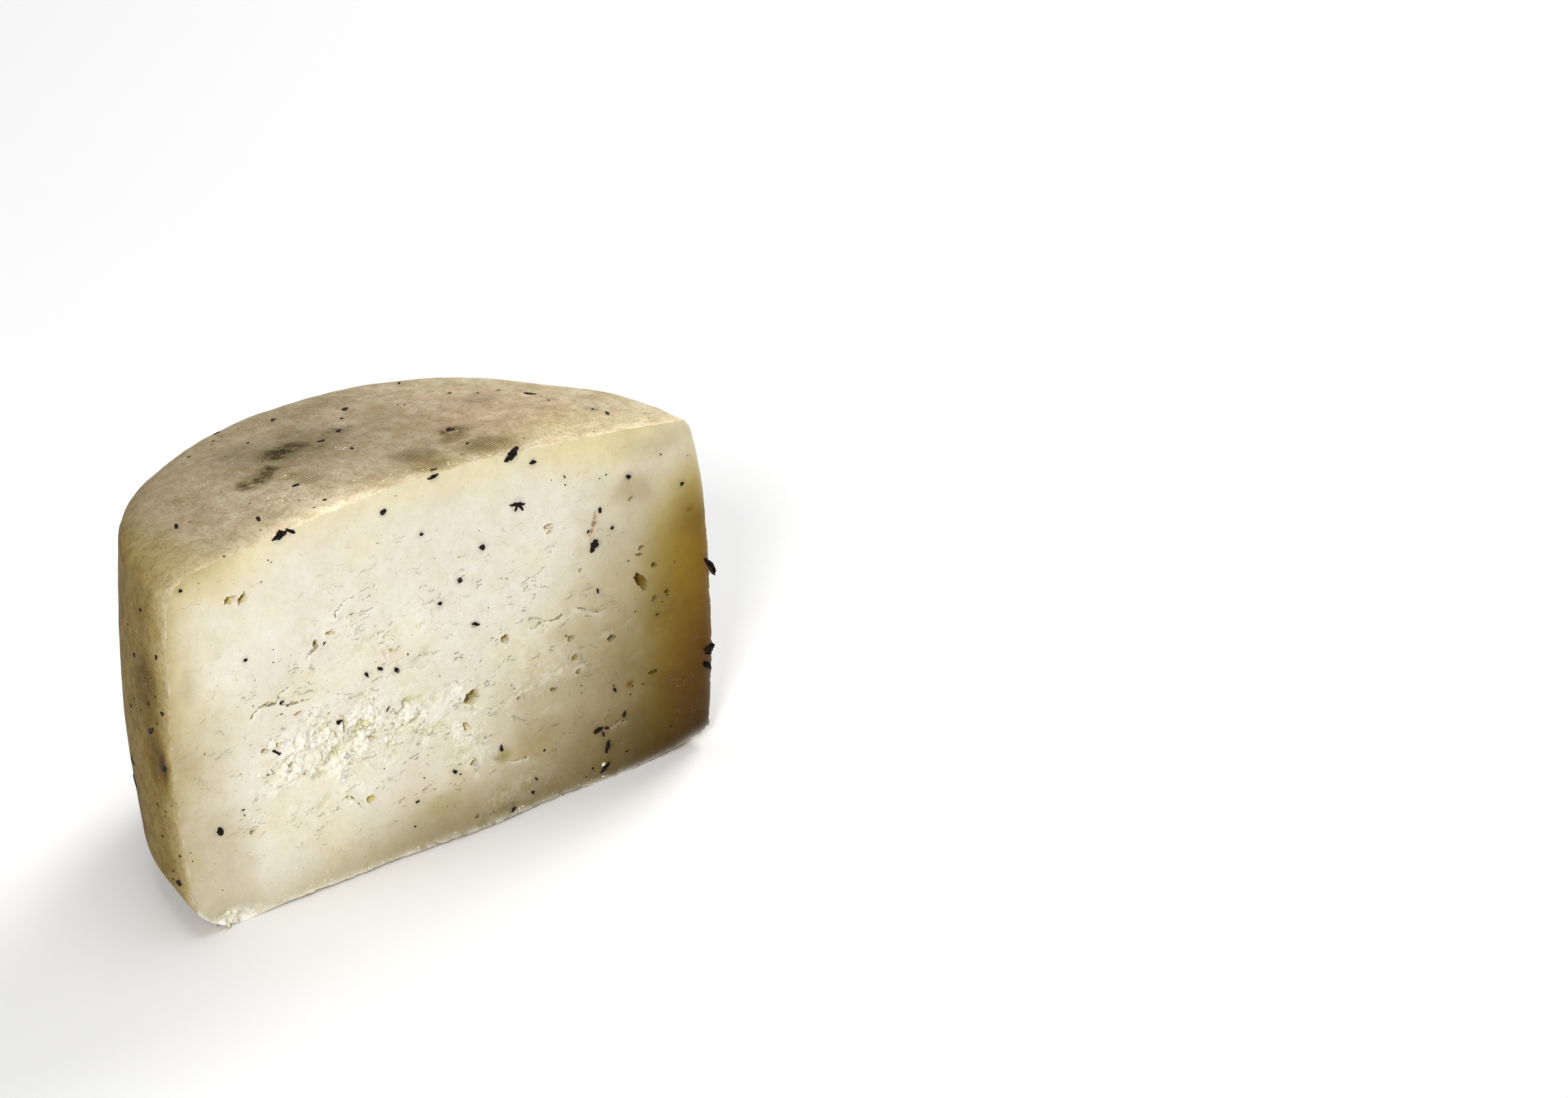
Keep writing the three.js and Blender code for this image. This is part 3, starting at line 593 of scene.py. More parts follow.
def cut_gap(x, z):
    gap = np.full(x.shape, SMOOTH_STEP)
    lip, notch = torn_lips(x, z)
    gap[lip > 0.03] = LIP_STEP
    gap[(lip > 0.25) | (notch > 0.1) | (torn_here(x, z) > 0.3) | (z < 2)] = FINE_STEP
    for at_x, at_z, wide, tall, _, _ in EYES:
        gap[np.hypot((x - at_x) / (wide + 1), (z - at_z) / (tall + 1)) < 0.62] = FINE_STEP
    for wide, _, *route in CRACKS:
        gap[to_route(x, z, route)[0] < 1 + wide] = CRACK_STEP
    for route in RIDGES:
        gap[to_route(x, z, route)[0] < 0.5 + RIDGE_WIDE] = RIDGE_STEP
    return gap


inner_cut = scattered(face_edge.min(0), face_edge.max(0), CUT_FINEST, cut_gap)
inner_cut = inner_cut[inner_cut[:, 1] > foot_lift(inner_cut[:, 0], 0) + 0.1]
inner_cut = inner_cut[off_edge(inner_cut, face_edge) > CUT_CLEAR]
for eye, wobble in zip(EYES, eye_wobbles):
    out = in_eye(eye, wobble, *inner_cut.T)
    margin = FINE_STEP / (min(eye[2], eye[3]) / 2)
    inner_cut = inner_cut[(out > 1 + 0.5 * margin) | (out < EYE_FOOT - 0.5 * margin)]
    rings = [eye_ring(eye, wobble, scale) for scale in (1.0, EYE_FOOT)]
    inner_cut = np.vstack([inner_cut, *rings])

face_net, face_flat = net(face_seam, face_edge, inner_cut, on_cut(*inner_cut.T))

RIND_FINEST = 0.5
RIND_CLEAR = 0.35  # how far its corners keep off a sheet's edge
TOP_MARGIN = 0.6
UNDER_MARGIN = 0.8
UNDER_COARSER = 1.6


def rind_gap(behind):
    """How far apart the rind's corners are: close beside the cut"""
    return np.clip(RIND_FINEST + 0.3 * behind, RIND_FINEST, RIND_STEP)


def inside_rind(edge, low, high, reach, wanted):
    """Corners for a flat sheet of rind between two marks, out to a reach and clear of its edge"""
    inner = scattered(low, high, RIND_FINEST, wanted)
    inner = inner[np.hypot(*inner.T) < reach]
    return inner[off_edge(inner, edge) > RIND_CLEAR]


half_round = row(np.cos(ring_marks / ROUND_RADIUS), np.sin(ring_marks / ROUND_RADIUS))
top_edge = np.vstack([top_long * half_round, top_row[::-1]])
inner_top = inside_rind(
    top_edge, (-top_long, 0), (top_long, top_long), top_long - TOP_MARGIN, lambda x, y: rind_gap(y)
)
top_numbers = np.concatenate([shoulder_seam, top_seam[::-1]])
top_net, top_flat = net(top_numbers, top_edge, inner_top, held_to_cut(on_top(*inner_top.T)))

wall_edge = np.vstack([foot_row, left_row[::-1], [[round_long, 0]], ring_row[::-1], [[0, 0]], right_row])
wall_numbers = np.concatenate(
    [foot_seam, left_seam[::-1], top_seam[-1:], shoulder_seam[::-1], top_seam[:1], right_seam]
)
inner_wall = inside_rind(
    wall_edge, (0, -wall_long), (round_long, 0), math.inf,
    lambda along, _: rind_gap(np.minimum(along, round_long - along)),
)
wall_net, wall_flat = net(wall_numbers, wall_edge, inner_wall, held_to_cut(on_wall(*inner_wall.T)))

under_edge = np.vstack([[[UNDER_LONG, 0]], UNDER_LONG * half_round, [[-UNDER_LONG, 0]], under_row[::-1]])
under_numbers = np.concatenate([right_seam[-1:], foot_seam, left_seam[-1:], under_seam[::-1]])
inner_under = inside_rind(
    under_edge, (-UNDER_LONG, 0), (UNDER_LONG, UNDER_LONG), UNDER_LONG - UNDER_MARGIN,
    lambda x, y: UNDER_COARSER * rind_gap(y),
)
under_places = lifted_foot(held_to_cut(on_underside(*inner_under.T)))
under_net, under_flat = net(under_numbers, under_edge, inner_under, under_places)

skin = np.vstack(skin_places)
triangles = np.vstack([face_net, top_net, wall_net, under_net[:, ::-1]])


def shown(name, data):
    """Puts a mesh, a lamp or a camera into the scene"""
    made = bpy.data.objects.new(name, data)
    bpy.context.collection.objects.link(made)
    return made


def mesh_piece(name, places, faces, materials):
    """A mesh object from places in millimetres, measured from the wheel's axis, kept in its own box"""
    shape = bpy.data.meshes.new(name)
    kept = np.clip((places + (AXIS_X, CUT_Y, 0)) * MM, cad_low, cad_high)
    shape.from_pydata(kept.tolist(), [], faces.tolist())
    shape.update()
    for material in materials:
        shape.materials.append(material)
    return shown(name, shape)


def top_place(across, behind):
    """The rind's place on the top or its shoulder, from a spot of the wheel's plan"""
    out = np.hypot(across, behind)
    rim = rim_at(np.arctan2(behind, across))
    turn = np.arcsin(np.clip((out - rim["top_radius"]) / rim["shoulder_wide"], 0, 1))
    spread = (TOP_LONG * np.minimum(out / rim["top_radius"], 1) + SHOULDER_LONG * turn / (np.pi / 2)) / out
    return held_to_cut(on_top(across * spread, behind * spread))


def side_place(angle, height):
    """The rind's place on the side, from its angle and height"""
    rim = rim_at(angle)
    wall_top = wall_height(angle)
    down = 1 - np.clip(height / rim["foot_tall"], 0, 1)
    up = np.clip((height - wall_top) / rim["shoulder_tall"], 0, 1)
    radius = wall_radius(angle, np.clip((height - rim["foot_tall"]) / (wall_top - rim["foot_tall"]), 0, 1))
    radius = radius - rim["foot_wide"] * (1 - np.sqrt(1 - down ** 2))
    radius = radius - rim["shoulder_wide"] * (1 - np.sqrt(1 - up ** 2))
    return held_to_cut(swollen(radius, angle, height))


# Truffle lies in the paste, and its juice stains the paste round it. In the cut face: x, z, long,
# wide and turn in degrees of each chip, and below them the smallest ones, as x, z and size.
CUT_CHIPS = [
    (19, 79, 3.9, 1, -13), (18.6, 78, 1.7, 0.7, 60), (20, 78, 1.6, 0.7, -50), (40.4, 62.2, 2.9, 2.3, 75),
    (18, 91.4, 3.6, 2, 35), (-44, 90.4, 3.6, 1.5, 12), (-41.2, 90.8, 2.2, 0.8, -35), (-17, 88, 1.3, 1.2, 0),
    (23.6, 88.1, 1.6, 0.9, -12), (-3.4, 92.6, 2.4, 1, 0), (9, 71.5, 1.4, 1.3, 0), (2.4, 65.1, 1.3, 1.2, 0),
    (6.4, 52.8, 1.9, 0.8, -18), (-3, 61, 1.3, 0.9, -10), (-23.6, 50, 1.5, 0.8, -62),
    (-19.8, 50.1, 1.7, 0.7, -32), (-15.6, 48.4, 1.5, 1.1, -40), (50.8, 76.5, 1.3, 1.2, 0),
    (42.3, 70.5, 1.3, 0.8, 85), (45.7, 64.9, 1.1, 0.9, -30), (66.2, 70.2, 1, 0.9, 0),
    (41.2, 50.1, 1.4, 0.6, 95), (-63.8, 24.5, 1.7, 1.5, -50), (-48.2, 38.9, 2.4, 0.8, -42),
    (-31.2, 40.4, 1.2, 0.9, 20), (-50, 34.2, 1.3, 0.6, 20), (-46.2, 50.8, 1.3, 0.7, 0),
    (-1, 17.3, 1.5, 0.8, -35), (12.3, 18.7, 1.7, 0.8, 85), (14.7, 1.9, 1.6, 1, 25),
    (20.8, 4.1, 1, 0.8, -40), (43, 8.4, 3.5, 1.2, 82), (40.4, 13.7, 2.7, 1, 10),
    (41.7, 12.4, 1.6, 0.7, -70), (42.9, 13.5, 1.3, 0.7, -10), (42.1, 3.1, 2.6, 1.1, 35),
    (48.1, 15.2, 1.4, 0.8, 70), (45.5, 22.7, 1.2, 0.8, -60), (-69.4, 85.4, 1, 0.8, -30),
    (-7.3, 79.6, 0.9, 0.8, 0), (-54.5, 64, 0.9, 0.7, 25), (22, 7.1, 1.3, 0.6, -60),
    (-26.6, 66.1, 1.2, 0.3, 10), (32.4, 82, 1.1, 0.4, -60), (-44.4, 49.5, 1, 0.3, 5),
    (-34.2, 61.4, 0.9, 0.5, 30), (-18.3, 39.5, 1.6, 0.4, 35), (1.1, 35.3, 0.8, 0.3, 15),
    (38.8, 66.1, 0.9, 0.5, 60), (58.5, 38.4, 1.2, 0.4, 20), (-57.4, 27.6, 0.9, 0.4, 0),
    (-12.6, 7.1, 0.8, 0.4, -20), (-11.5, 13.2, 0.9, 0.6, 15), (0.4, 16.1, 0.9, 0.4, -10),
    (48.6, 5.2, 1, 0.4, 10),
]
CUT_SPECKS = [
    (-58, 90, 0.4), (-64.8, 85.8, 0.4), (-49.3, 81.2, 0.4), (-47.2, 85.7, 0.4), (-46.4, 85, 0.4),
    (-13.6, 90.9, 0.4), (-19.1, 81.1, 0.35), (28.7, 82.2, 0.4), (32.6, 79.8, 0.5), (8.3, 75.8, 0.4),
    (44.3, 78.9, 0.5), (42.5, 78.5, 0.4), (60.2, 79.4, 0.6), (68, 76.9, 0.35), (-47.4, 64.2, 0.4),
    (-47.6, 61.1, 0.4), (-53.4, 52.3, 0.4), (-46.4, 47.9, 0.5), (-66.2, 44.8, 0.5), (-49, 33.6, 0.4),
    (-12.3, 51.3, 0.5), (10.1, 55.8, 0.4), (31.8, 41.5, 0.6), (61.5, 42.6, 0.5), (60.1, 41.2, 0.5),
    (63.9, 50.5, 0.5), (50.3, 55, 0.5), (52, 41.2, 0.5), (-57.2, 26.1, 0.5), (-71.5, 22, 0.4),
    (-71.1, 19.7, 0.4), (-64.2, 9.7, 0.35), (-14.5, 34, 0.4), (-20.1, 24.7, 0.4), (-9.5, 18.7, 0.6),
    (24.6, 13.8, 0.7), (9, 3.5, 0.35), (35.8, 27.1, 0.5), (35.7, 25.2, 0.4), (36.4, 2.5, 0.5),
    (45.2, 24, 0.6), (50.8, 21.9, 0.5), (50, 20, 0.6), (54, 21.4, 0.6), (62, 7.1, 0.8), (38.6, 4.1, 0.7),
]
JUICE_REACH = 0.6
JUICE_STRENGTH = 0.3


def linear(code):
    """A colour written as the six digits of its screen value, as the renderer wants it"""
    screen = np.array([int(code[i:i + 2], 16) for i in (0, 2, 4)]) / 255
    return np.where(screen <= 0.04045, screen / 12.92, ((screen + 0.055) / 1.055) ** 2.4)


# The cut paste's colours. It is cream where it is moist. What yellows or stains it takes away red,
# green and blue light in these strengths, and where the knife broke it up it looks whiter. The aged
# yellow-brown also serves as painted shade, and the broken white as painted highlight.
CREAM = linear("f5f0e1")
BROKEN_AND_HIGHLIT = linear("fbf8ee")
AGE_AND_SHADE = (0.82, 0.95, 1.36)
STRAW = (0.03, 0.14, 0.7)
RUSTY = (0.4, 1, 1.5)
INKY = (1, 1, 0.95)
PINK = (0.12, 0.4, 0.4)
OLIVE = (0.9, 0.9, 1.9)
GOLDEN = (-0.12, 0.24, 2.3)

# Stains in the cut: dye, x, z, half width, half height, turn in degrees and strength
CUT_STAINS = [
    (AGE_AND_SHADE, -64, 20, 10, 20, 12, 0.33), (AGE_AND_SHADE, -69, 62, 3, 5, 0, 0.25), (AGE_AND_SHADE, -70, 44, 16, 17, 0, 0.26),
    (AGE_AND_SHADE, -47, 54, 9, 7, 0, 0.1), (AGE_AND_SHADE, -60, 3, 12, 5, 0, 0.1), (STRAW, 42, 87, 22, 8, -8, 0.42),
    (STRAW, 0, 90, 40, 4, 0, 0.12), (STRAW, -58, 86, 16, 7, 8, 0.3), (AGE_AND_SHADE, 57, 82, 11, 4, 0, 0.16),
    (AGE_AND_SHADE, 52, 73, 7, 5, 0, 0.34), (PINK, 51, 74, 7, 6, 0, 0.12), (RUSTY, 41, 68, 0.8, 3.4, -15, 0.4),
    (RUSTY, 39.7, 64.6, 1.2, 1.6, 10, 0.4), (RUSTY, 50, 22.8, 1, 1, 0, 1.3),
    (PINK, -17, 52.3, 5, 4, 0, 0.16), (INKY, -10.8, 49.3, 2.2, 1.6, 0, 0.16),
    (PINK, -33, 58, 6, 4, 0, 0.12), (STRAW, 72, 48, 3, 4, 0, 0.5), (STRAW, 73, 28, 3, 7, 0, 0.5),
    (OLIVE, 12.8, 16.6, 2.4, 2, 0, 0.5), (AGE_AND_SHADE, 71, 66, 9, 14, 0, 0.4), (OLIVE, 13.8, 3, 3.4, 2.2, 0, 0.5),
    (OLIVE, -6, 10, 7, 4, 10, 0.22), (RUSTY, 68.5, 63, 1.4, 1, 0, 0.5),
    # These eyes are straw yellow of their own; the olive darkens them, partly as their own colour and partly
    # as painted shade
    (OLIVE, 4.4, 34.7, 1.7, 1.9, 0, 0.5), (STRAW, 4.4, 34.7, 1.7, 1.9, 0, 1),
    (OLIVE, 14.3, 46.7, 1.1, 0.9, 0, 0.4), (STRAW, 14.3, 46.7, 1.1, 0.9, 0, 1),
    (OLIVE, 44.7, 36.7, 1.2, 1, 0, 0.6), (RUSTY, 53.6, 48.9, 1.2, 2.4, 40, 1), (AGE_AND_SHADE, 22, 4, 11, 5, 0, 0.2),
    (AGE_AND_SHADE, 8, 32, 36, 22, 0, 0.12), (AGE_AND_SHADE, 22, 18, 8, 7, 0, 0.2), (AGE_AND_SHADE, -70, 42, 4, 5, 0, 0.15),
]


def stain(u, v, at_u, at_v, half_wide, half_tall, turn):
    """A stain with a soft uneven edge, 1 in its middle and 0 outside"""
    along, up = turned(u - at_u, v - at_v, -turn)
    size = min(half_wide, half_tall)
    out = np.hypot(along / half_wide, up / half_tall) + 0.22 * rugged(u / size, at_u, v / size)
    return rise(1.25 - out, 0, 1.1)


def soaked(colours, dye, strength):
    """Colours after a dye has taken its part of the light"""
    return colours * np.exp(-np.outer(strength, dye))


def stained(colours, stains, u, v, share=1):
    """Colours after a list of stains has soaked in"""
    for dye, *where, strength in stains:
        colours = soaked(colours, dye, strength * share * stain(u, v, *where))
    return colours


def strongest(places, u, v):
    """The strongest mark at each place, from a list of marks like stains"""
    return np.max([strength * stain(u, v, *where) for *where, strength in places], axis=0)


def mixed(colours, other, share):
    share = np.clip(share, 0, 1)[:, None]
    return colours * (1 - share) + other * share


face_corners = np.unique(face_net)


def on_skin(values, elsewhere):
    """Values for the whole skin, from those of the cut face's corners and one for all the others"""
    whole = np.full((len(skin), *np.shape(values)[1:]), elsewhere, float)
    whole[face_corners] = values
    return whole


x, y, z = skin[face_corners].T
inset = off_edge(row(x, z), face_edge)
wander = rugged(x / 10, 0.7, z / 10)
mottle = rugged(x / 2.6, 5.7, z / 2.6)
colours = np.tile(CREAM, (len(x), 1))

# It darkens downwards and towards its right end, partly as the paste's own colour near the rind and
# partly as painted shade, and round the foot as painted shade. It also darkens in a narrow band at the
# left and deep in the eyes. Faint straw and pink patches lie over the rest.
# Darker towards the bottom and the right end: partly the paste's own colour, partly painted shade
dried_and_shaded = np.maximum(x + 14 - 0.66 * z + 4 * wander, 0)
dried_and_shaded = (0.018 * dried_and_shaded + 0.0003 * dried_and_shaded ** 2) * (1 - 0.7 * rise(z, 54, 80) * rise(x, 30, 66))
# Painted shade round the foot of the cut
foot_shade = 0.95 * mound(x, z, -6, 0, 25, 12) + 0.14 * mound(x, z, -44, 0, 18, 9) + 0.25 * np.exp(-z / 4)
left_shade = rise(-x, 50, 66) * (0.42 * np.exp(-inset / 3) + 0.13 * np.exp(-inset / 9))
patchy = rugged(x / 12, 8.8, z / 9)
sunk = np.maximum(y - relief(x, z), 0)
for dye, strength in (
    (AGE_AND_SHADE, dried_and_shaded + foot_shade + left_shade),
    (AGE_AND_SHADE, np.maximum(0.04 + 0.04 * wander + 0.03 * mottle, 0)),
    # The golden-brown band at the right end: partly the paste's own colour by the rind, partly painted shade
    (GOLDEN, 0.95 * rise(x + 0.05 * (40 - z), 50, 73) * rise(82 - z, 0, 38)),
    (STRAW, 0.34 * np.exp(-inset / 6) * rise(z, 30, 70) + 0.3 * left_shade),
    (STRAW, 0.12 * rise(-patchy, -0.1, 0.5) + 0.9 * np.minimum(sunk, 1.6)),
    (PINK, 0.06 * rise(patchy, 0, 0.5)),
    # Painted shade: the eyes grow darker with their depth
    (OLIVE, 0.22 * np.minimum(sunk, 2.2)),
):
    colours = soaked(colours, dye, strength)
colours = stained(colours, CUT_STAINS, x, z)

# Truffle juice stains it round the chips. It is whiter where it is broken, and the upper edges of lifted
# lips, cracks and plates are painted lighter as highlights
juice = np.zeros(len(x))
for at_x, at_z, long, wide, _ in CUT_CHIPS:
    away = np.maximum(np.hypot(x - at_x, z - at_z) - (long + wide) / 4, 0)
    juice = np.maximum(juice, JUICE_STRENGTH * np.exp(-(away / JUICE_REACH) ** 2) * min(wide, 1.2))
colours = soaked(colours, INKY, juice * (0.8 + 0.4 * mottle))
torn = torn_here(x, z)
white_edge = np.exp(-inset / 0.7) * rise(rugged(x / 1.8, 2.4, z / 1.8), 0, 0.6) * rise(50 - x, 0, 50)
white_lip = np.exp(-over_foot(x, z) / 0.9) * rise(mottle, -0.6, 0.3) * (1 - 0.6 * rise(x, 30, 60))
creased, plate_edge = crumbled(x, z)
lip, notch = torn_lips(x, z)
# Painted shade: darker in the deep creases of the torn paste and in the notches above its lips
colours = soaked(colours, OLIVE, 0.5 * np.minimum(torn, 1) * rise(creased, 0.75, 0.95))
colours = soaked(colours, AGE_AND_SHADE, 0.12 * notch)
crack_lip_highlight = np.zeros(len(x))
crack_away = np.full(len(x), 9.0)
for wide, _, *route in CRACKS:
    away, below = to_route(*jagged(x, z), route)
    crack_away = np.minimum(crack_away, away / wide)
    crack_lip_highlight = np.maximum(crack_lip_highlight, below * np.exp(-away / 0.6) * (away > 0.4 * wide))
# Whiter broken paste, with painted highlight on the plate edges
broken = 0.5 * rise(0.7 - creased, 0, 0.25) + 0.8 * plate_edge
whiter_and_highlit = np.minimum(1.5 * torn, 1) * broken * (0.8 + 0.2 * mottle) + 0.35 * white_edge + 0.9 * white_lip
whiter_and_highlit = whiter_and_highlit + 0.9 * mound(x, z, -64, 0, 7.5, 2.4) + 0.35 * np.exp(-inset / 0.8) * rise(x, 60, 70)
# Painted highlight on the upper edges of the lips and cracks
whiter_and_highlit = whiter_and_highlit + 0.7 * lip + 0.8 * crack_lip_highlight + 0.1 * dragged(x, z)
colours = mixed(colours, BROKEN_AND_HIGHLIT, whiter_and_highlit * (1 - 0.7 * rise(dried_and_shaded, 0.3, 1.6)))
lip_line = np.exp(-over_foot(x, z) / 0.4) * rise(mottle, -0.8, 0.2) * (1 - 0.7 * rise(x, 20, 66))
colours = mixed(colours, BROKEN_AND_HIGHLIT, 0.9 * lip_line)

# Its finish also goes by how far the knife dragged each place, and by how near a crack it is
streaked = 1.3 * ragged_zone(x, z) * (0.8 + 0.6 * wander) + 0.5 * torn
least_streaked = 0.1 + 0.3 * rise(30 - z, 0, 12) * rise(x, -20, 10) * rise(50 - x, 0, 10)
shades = {"paste_shade": on_skin(colours, CREAM)}
marks = {
    "dragged_here": on_skin(np.clip(streaked, least_streaked, 1), 0),
    "cracked_here": on_skin(crack_away, 9),
}

# The rind's colours: tan on top, paler towards the cut and the right end, greyer or olive in
# blotches, and browner down the side. The cloth left a brown print of its weave on the top.
RIND_PALE = linear("efe2c6")
GREYED = (0.95, 1, 1.12)
TANNED = (0.83, 1.01, 1.85)
# Stains on the top: dye, x, y, half width, half depth, turn in degrees and strength
TOP_STAINS = [
    (GREYED, -18, 38, 26, 15, -8, 0.4), (OLIVE, -20, 35, 8, 5, 10, 0.4),
    (OLIVE, -28, 28.5, 3.4, 2.2, 0, 0.8), (OLIVE, -33.5, 26, 6, 4, 0, 0.3), (OLIVE, -26, 22, 4, 2, 20, 0.4),
    (OLIVE, -13, 31, 4, 2, 0, 0.3), (PINK, 30, 24, 26, 20, 0, 0.35), (OLIVE, 17, 19, 4, 3, 0, 0.3),
    (PINK, 44.5, 19.3, 4, 3, 0, 0.3), (INKY, 51.3, 14, 2, 1.6, 0, 0.35),
    (AGE_AND_SHADE, 17.5, 27.5, 2.2, 2, 0, 0.25), (TANNED, 0, 5, 7, 12, 0, 0.4), (TANNED, 17, 7, 9, 5.6, 8, 0.4),
    (TANNED, 13, 15.5, 4, 2.6, 0, 0.5), (PINK, -53, 24, 5, 5, 0, 0.15), (STRAW, -66, 12, 8, 22, 0, 0.5),
    (STRAW, 36, 10, 16, 9, 0, 0.2), (GREYED, -36, 8, 16, 5, 0, 0.15), (GREYED, -2, 55, 16, 7, 0, 0.15),
]
# Stains on the side: dye, angle in degrees from the cut's right end, height, half width in degrees,
# half height, turn and strength
SIDE_STAINS = [
    (TANNED, 176.4, 42.5, 2.2, 4.6, 0, 1.6), (TANNED, 174, 42, 4.4, 9, 0, 0.6),
    (TANNED, 170.5, 60, 6, 9, 0, 0.55), (TANNED, 172, 52, 7, 16, 0, 0.25), (STRAW, 173, 40.5, 5, 7, 0, 0.6),
    (TANNED, 152, 16, 10, 18, 0, 0.75), (GREYED, 156, 72, 16, 22, 0, 0.15),
    (TANNED, 120, 30, 18, 22, 0, 0.5), (TANNED, 132, 66, 6, 9, 0, 0.4), (GREYED, 96, 58, 20, 26, 0, 0.35),
    (TANNED, 64, 24, 16, 16, 0, 0.5), (TANNED, 44, 54, 5, 7, 0, 0.4), (GREYED, 22, 36, 14, 24, 0, 0.3),
    (TANNED, 6, 40, 8, 22, 0, 0.4),
]
# Places where mould darkened it: x, y, half width, half depth, turn and strength
MOULDY_PLACES = [
    (-20, 35, 8, 4.6, 10, 1), (-33.5, 26, 6.5, 4.2, 10, 0.8), (-28, 29, 4, 3, 0, 0.7),
    (-13, 31, 4, 2.4, 0, 0.4), (-26, 22, 5, 2.6, 20, 0.45), (-3.5, 37.5, 5, 3, 0, 0.6),
    (15.5, 20, 5.4, 3.4, 0, 0.75), (4, 30, 3, 2, 0, 0.3), (51.3, 14, 2.4, 1.8, 0, 0.5),
    (-11, 44, 6, 3, 0, 0.35), (0, 12, 9, 6, 0, 0.24), (17, 9, 9, 6, 0, 0.2), (-42, 13, 6, 3, 0, 0.25),
    (-25, 55, 5, 3, 0, 0.35), (36, 45, 4, 3, 0, 0.3),
]
# Places where the print of the cloth shows, in the same way
PRINT_PLACES = [
    (0, 12, 8.5, 5.5, 0, 1), (-0.5, 4, 6, 3.4, 0, 1), (17, 7.5, 9, 6, 0, 1), (13, 15.5, 5, 3, 0, 1),
    (-24, 18, 5, 3, 0, 1), (33, 34, 6, 5, 0, 1),
]

x, y, z = skin.T
around = np.degrees(np.arctan2(y, x))
above_wall = z - wall_height(np.radians(around))
top_share = rise(above_wall / rim_at(np.radians(around))["shoulder_tall"], -0.2, 0.8)
from_cut = np.maximum(y, 0)
blotch = rugged(x / 7, y / 7, z / 7)
grain = rugged(x / 2.1, y / 2.1, z / 2.1)
top_tan = 0.72 - 0.5 * rise(x, -14, 58) - 0.6 * np.exp(-from_cut / 5) - 0.5 * mound(x, y, -29, 0, 21, 15)
side_tan = 1 - 0.2 * rise(z, 50, 80) - 0.8 * np.exp(-from_cut / 3.6) + 0.3 * rise(from_cut, 3, 12)
rind = np.tile(RIND_PALE, (len(x), 1))
for dye, strength in (
    (GREYED, top_tan * top_share),
    (TANNED, side_tan * (1 - top_share)),
    (AGE_AND_SHADE, np.clip(0.2 + 0.2 * blotch + 0.13 * grain, 0, 1)),
):
    rind = soaked(rind, dye, strength)
rind = stained(rind, TOP_STAINS, x, y, top_share)
rind = stained(rind, SIDE_STAINS, around, z, 1 - top_share)
rind = mixed(rind, BROKEN_AND_HIGHLIT, 0.15 * np.exp(-from_cut / 0.8) * rise(grain, -0.5, 0.4))
rind = soaked(rind, STRAW, 0.12 * top_share * rise(x, -5, 45) * np.exp(-from_cut / 12))
rind = soaked(rind, INKY, 0.16 * top_share * rise(x, -10, 50) * np.exp(-from_cut / 4))
shades["rind_shade"] = rind
marks["mouldy_here"] = top_share * strongest(MOULDY_PLACES, x, y)
marks["cloth_print"] = top_share * strongest(PRINT_PLACES, x, y)


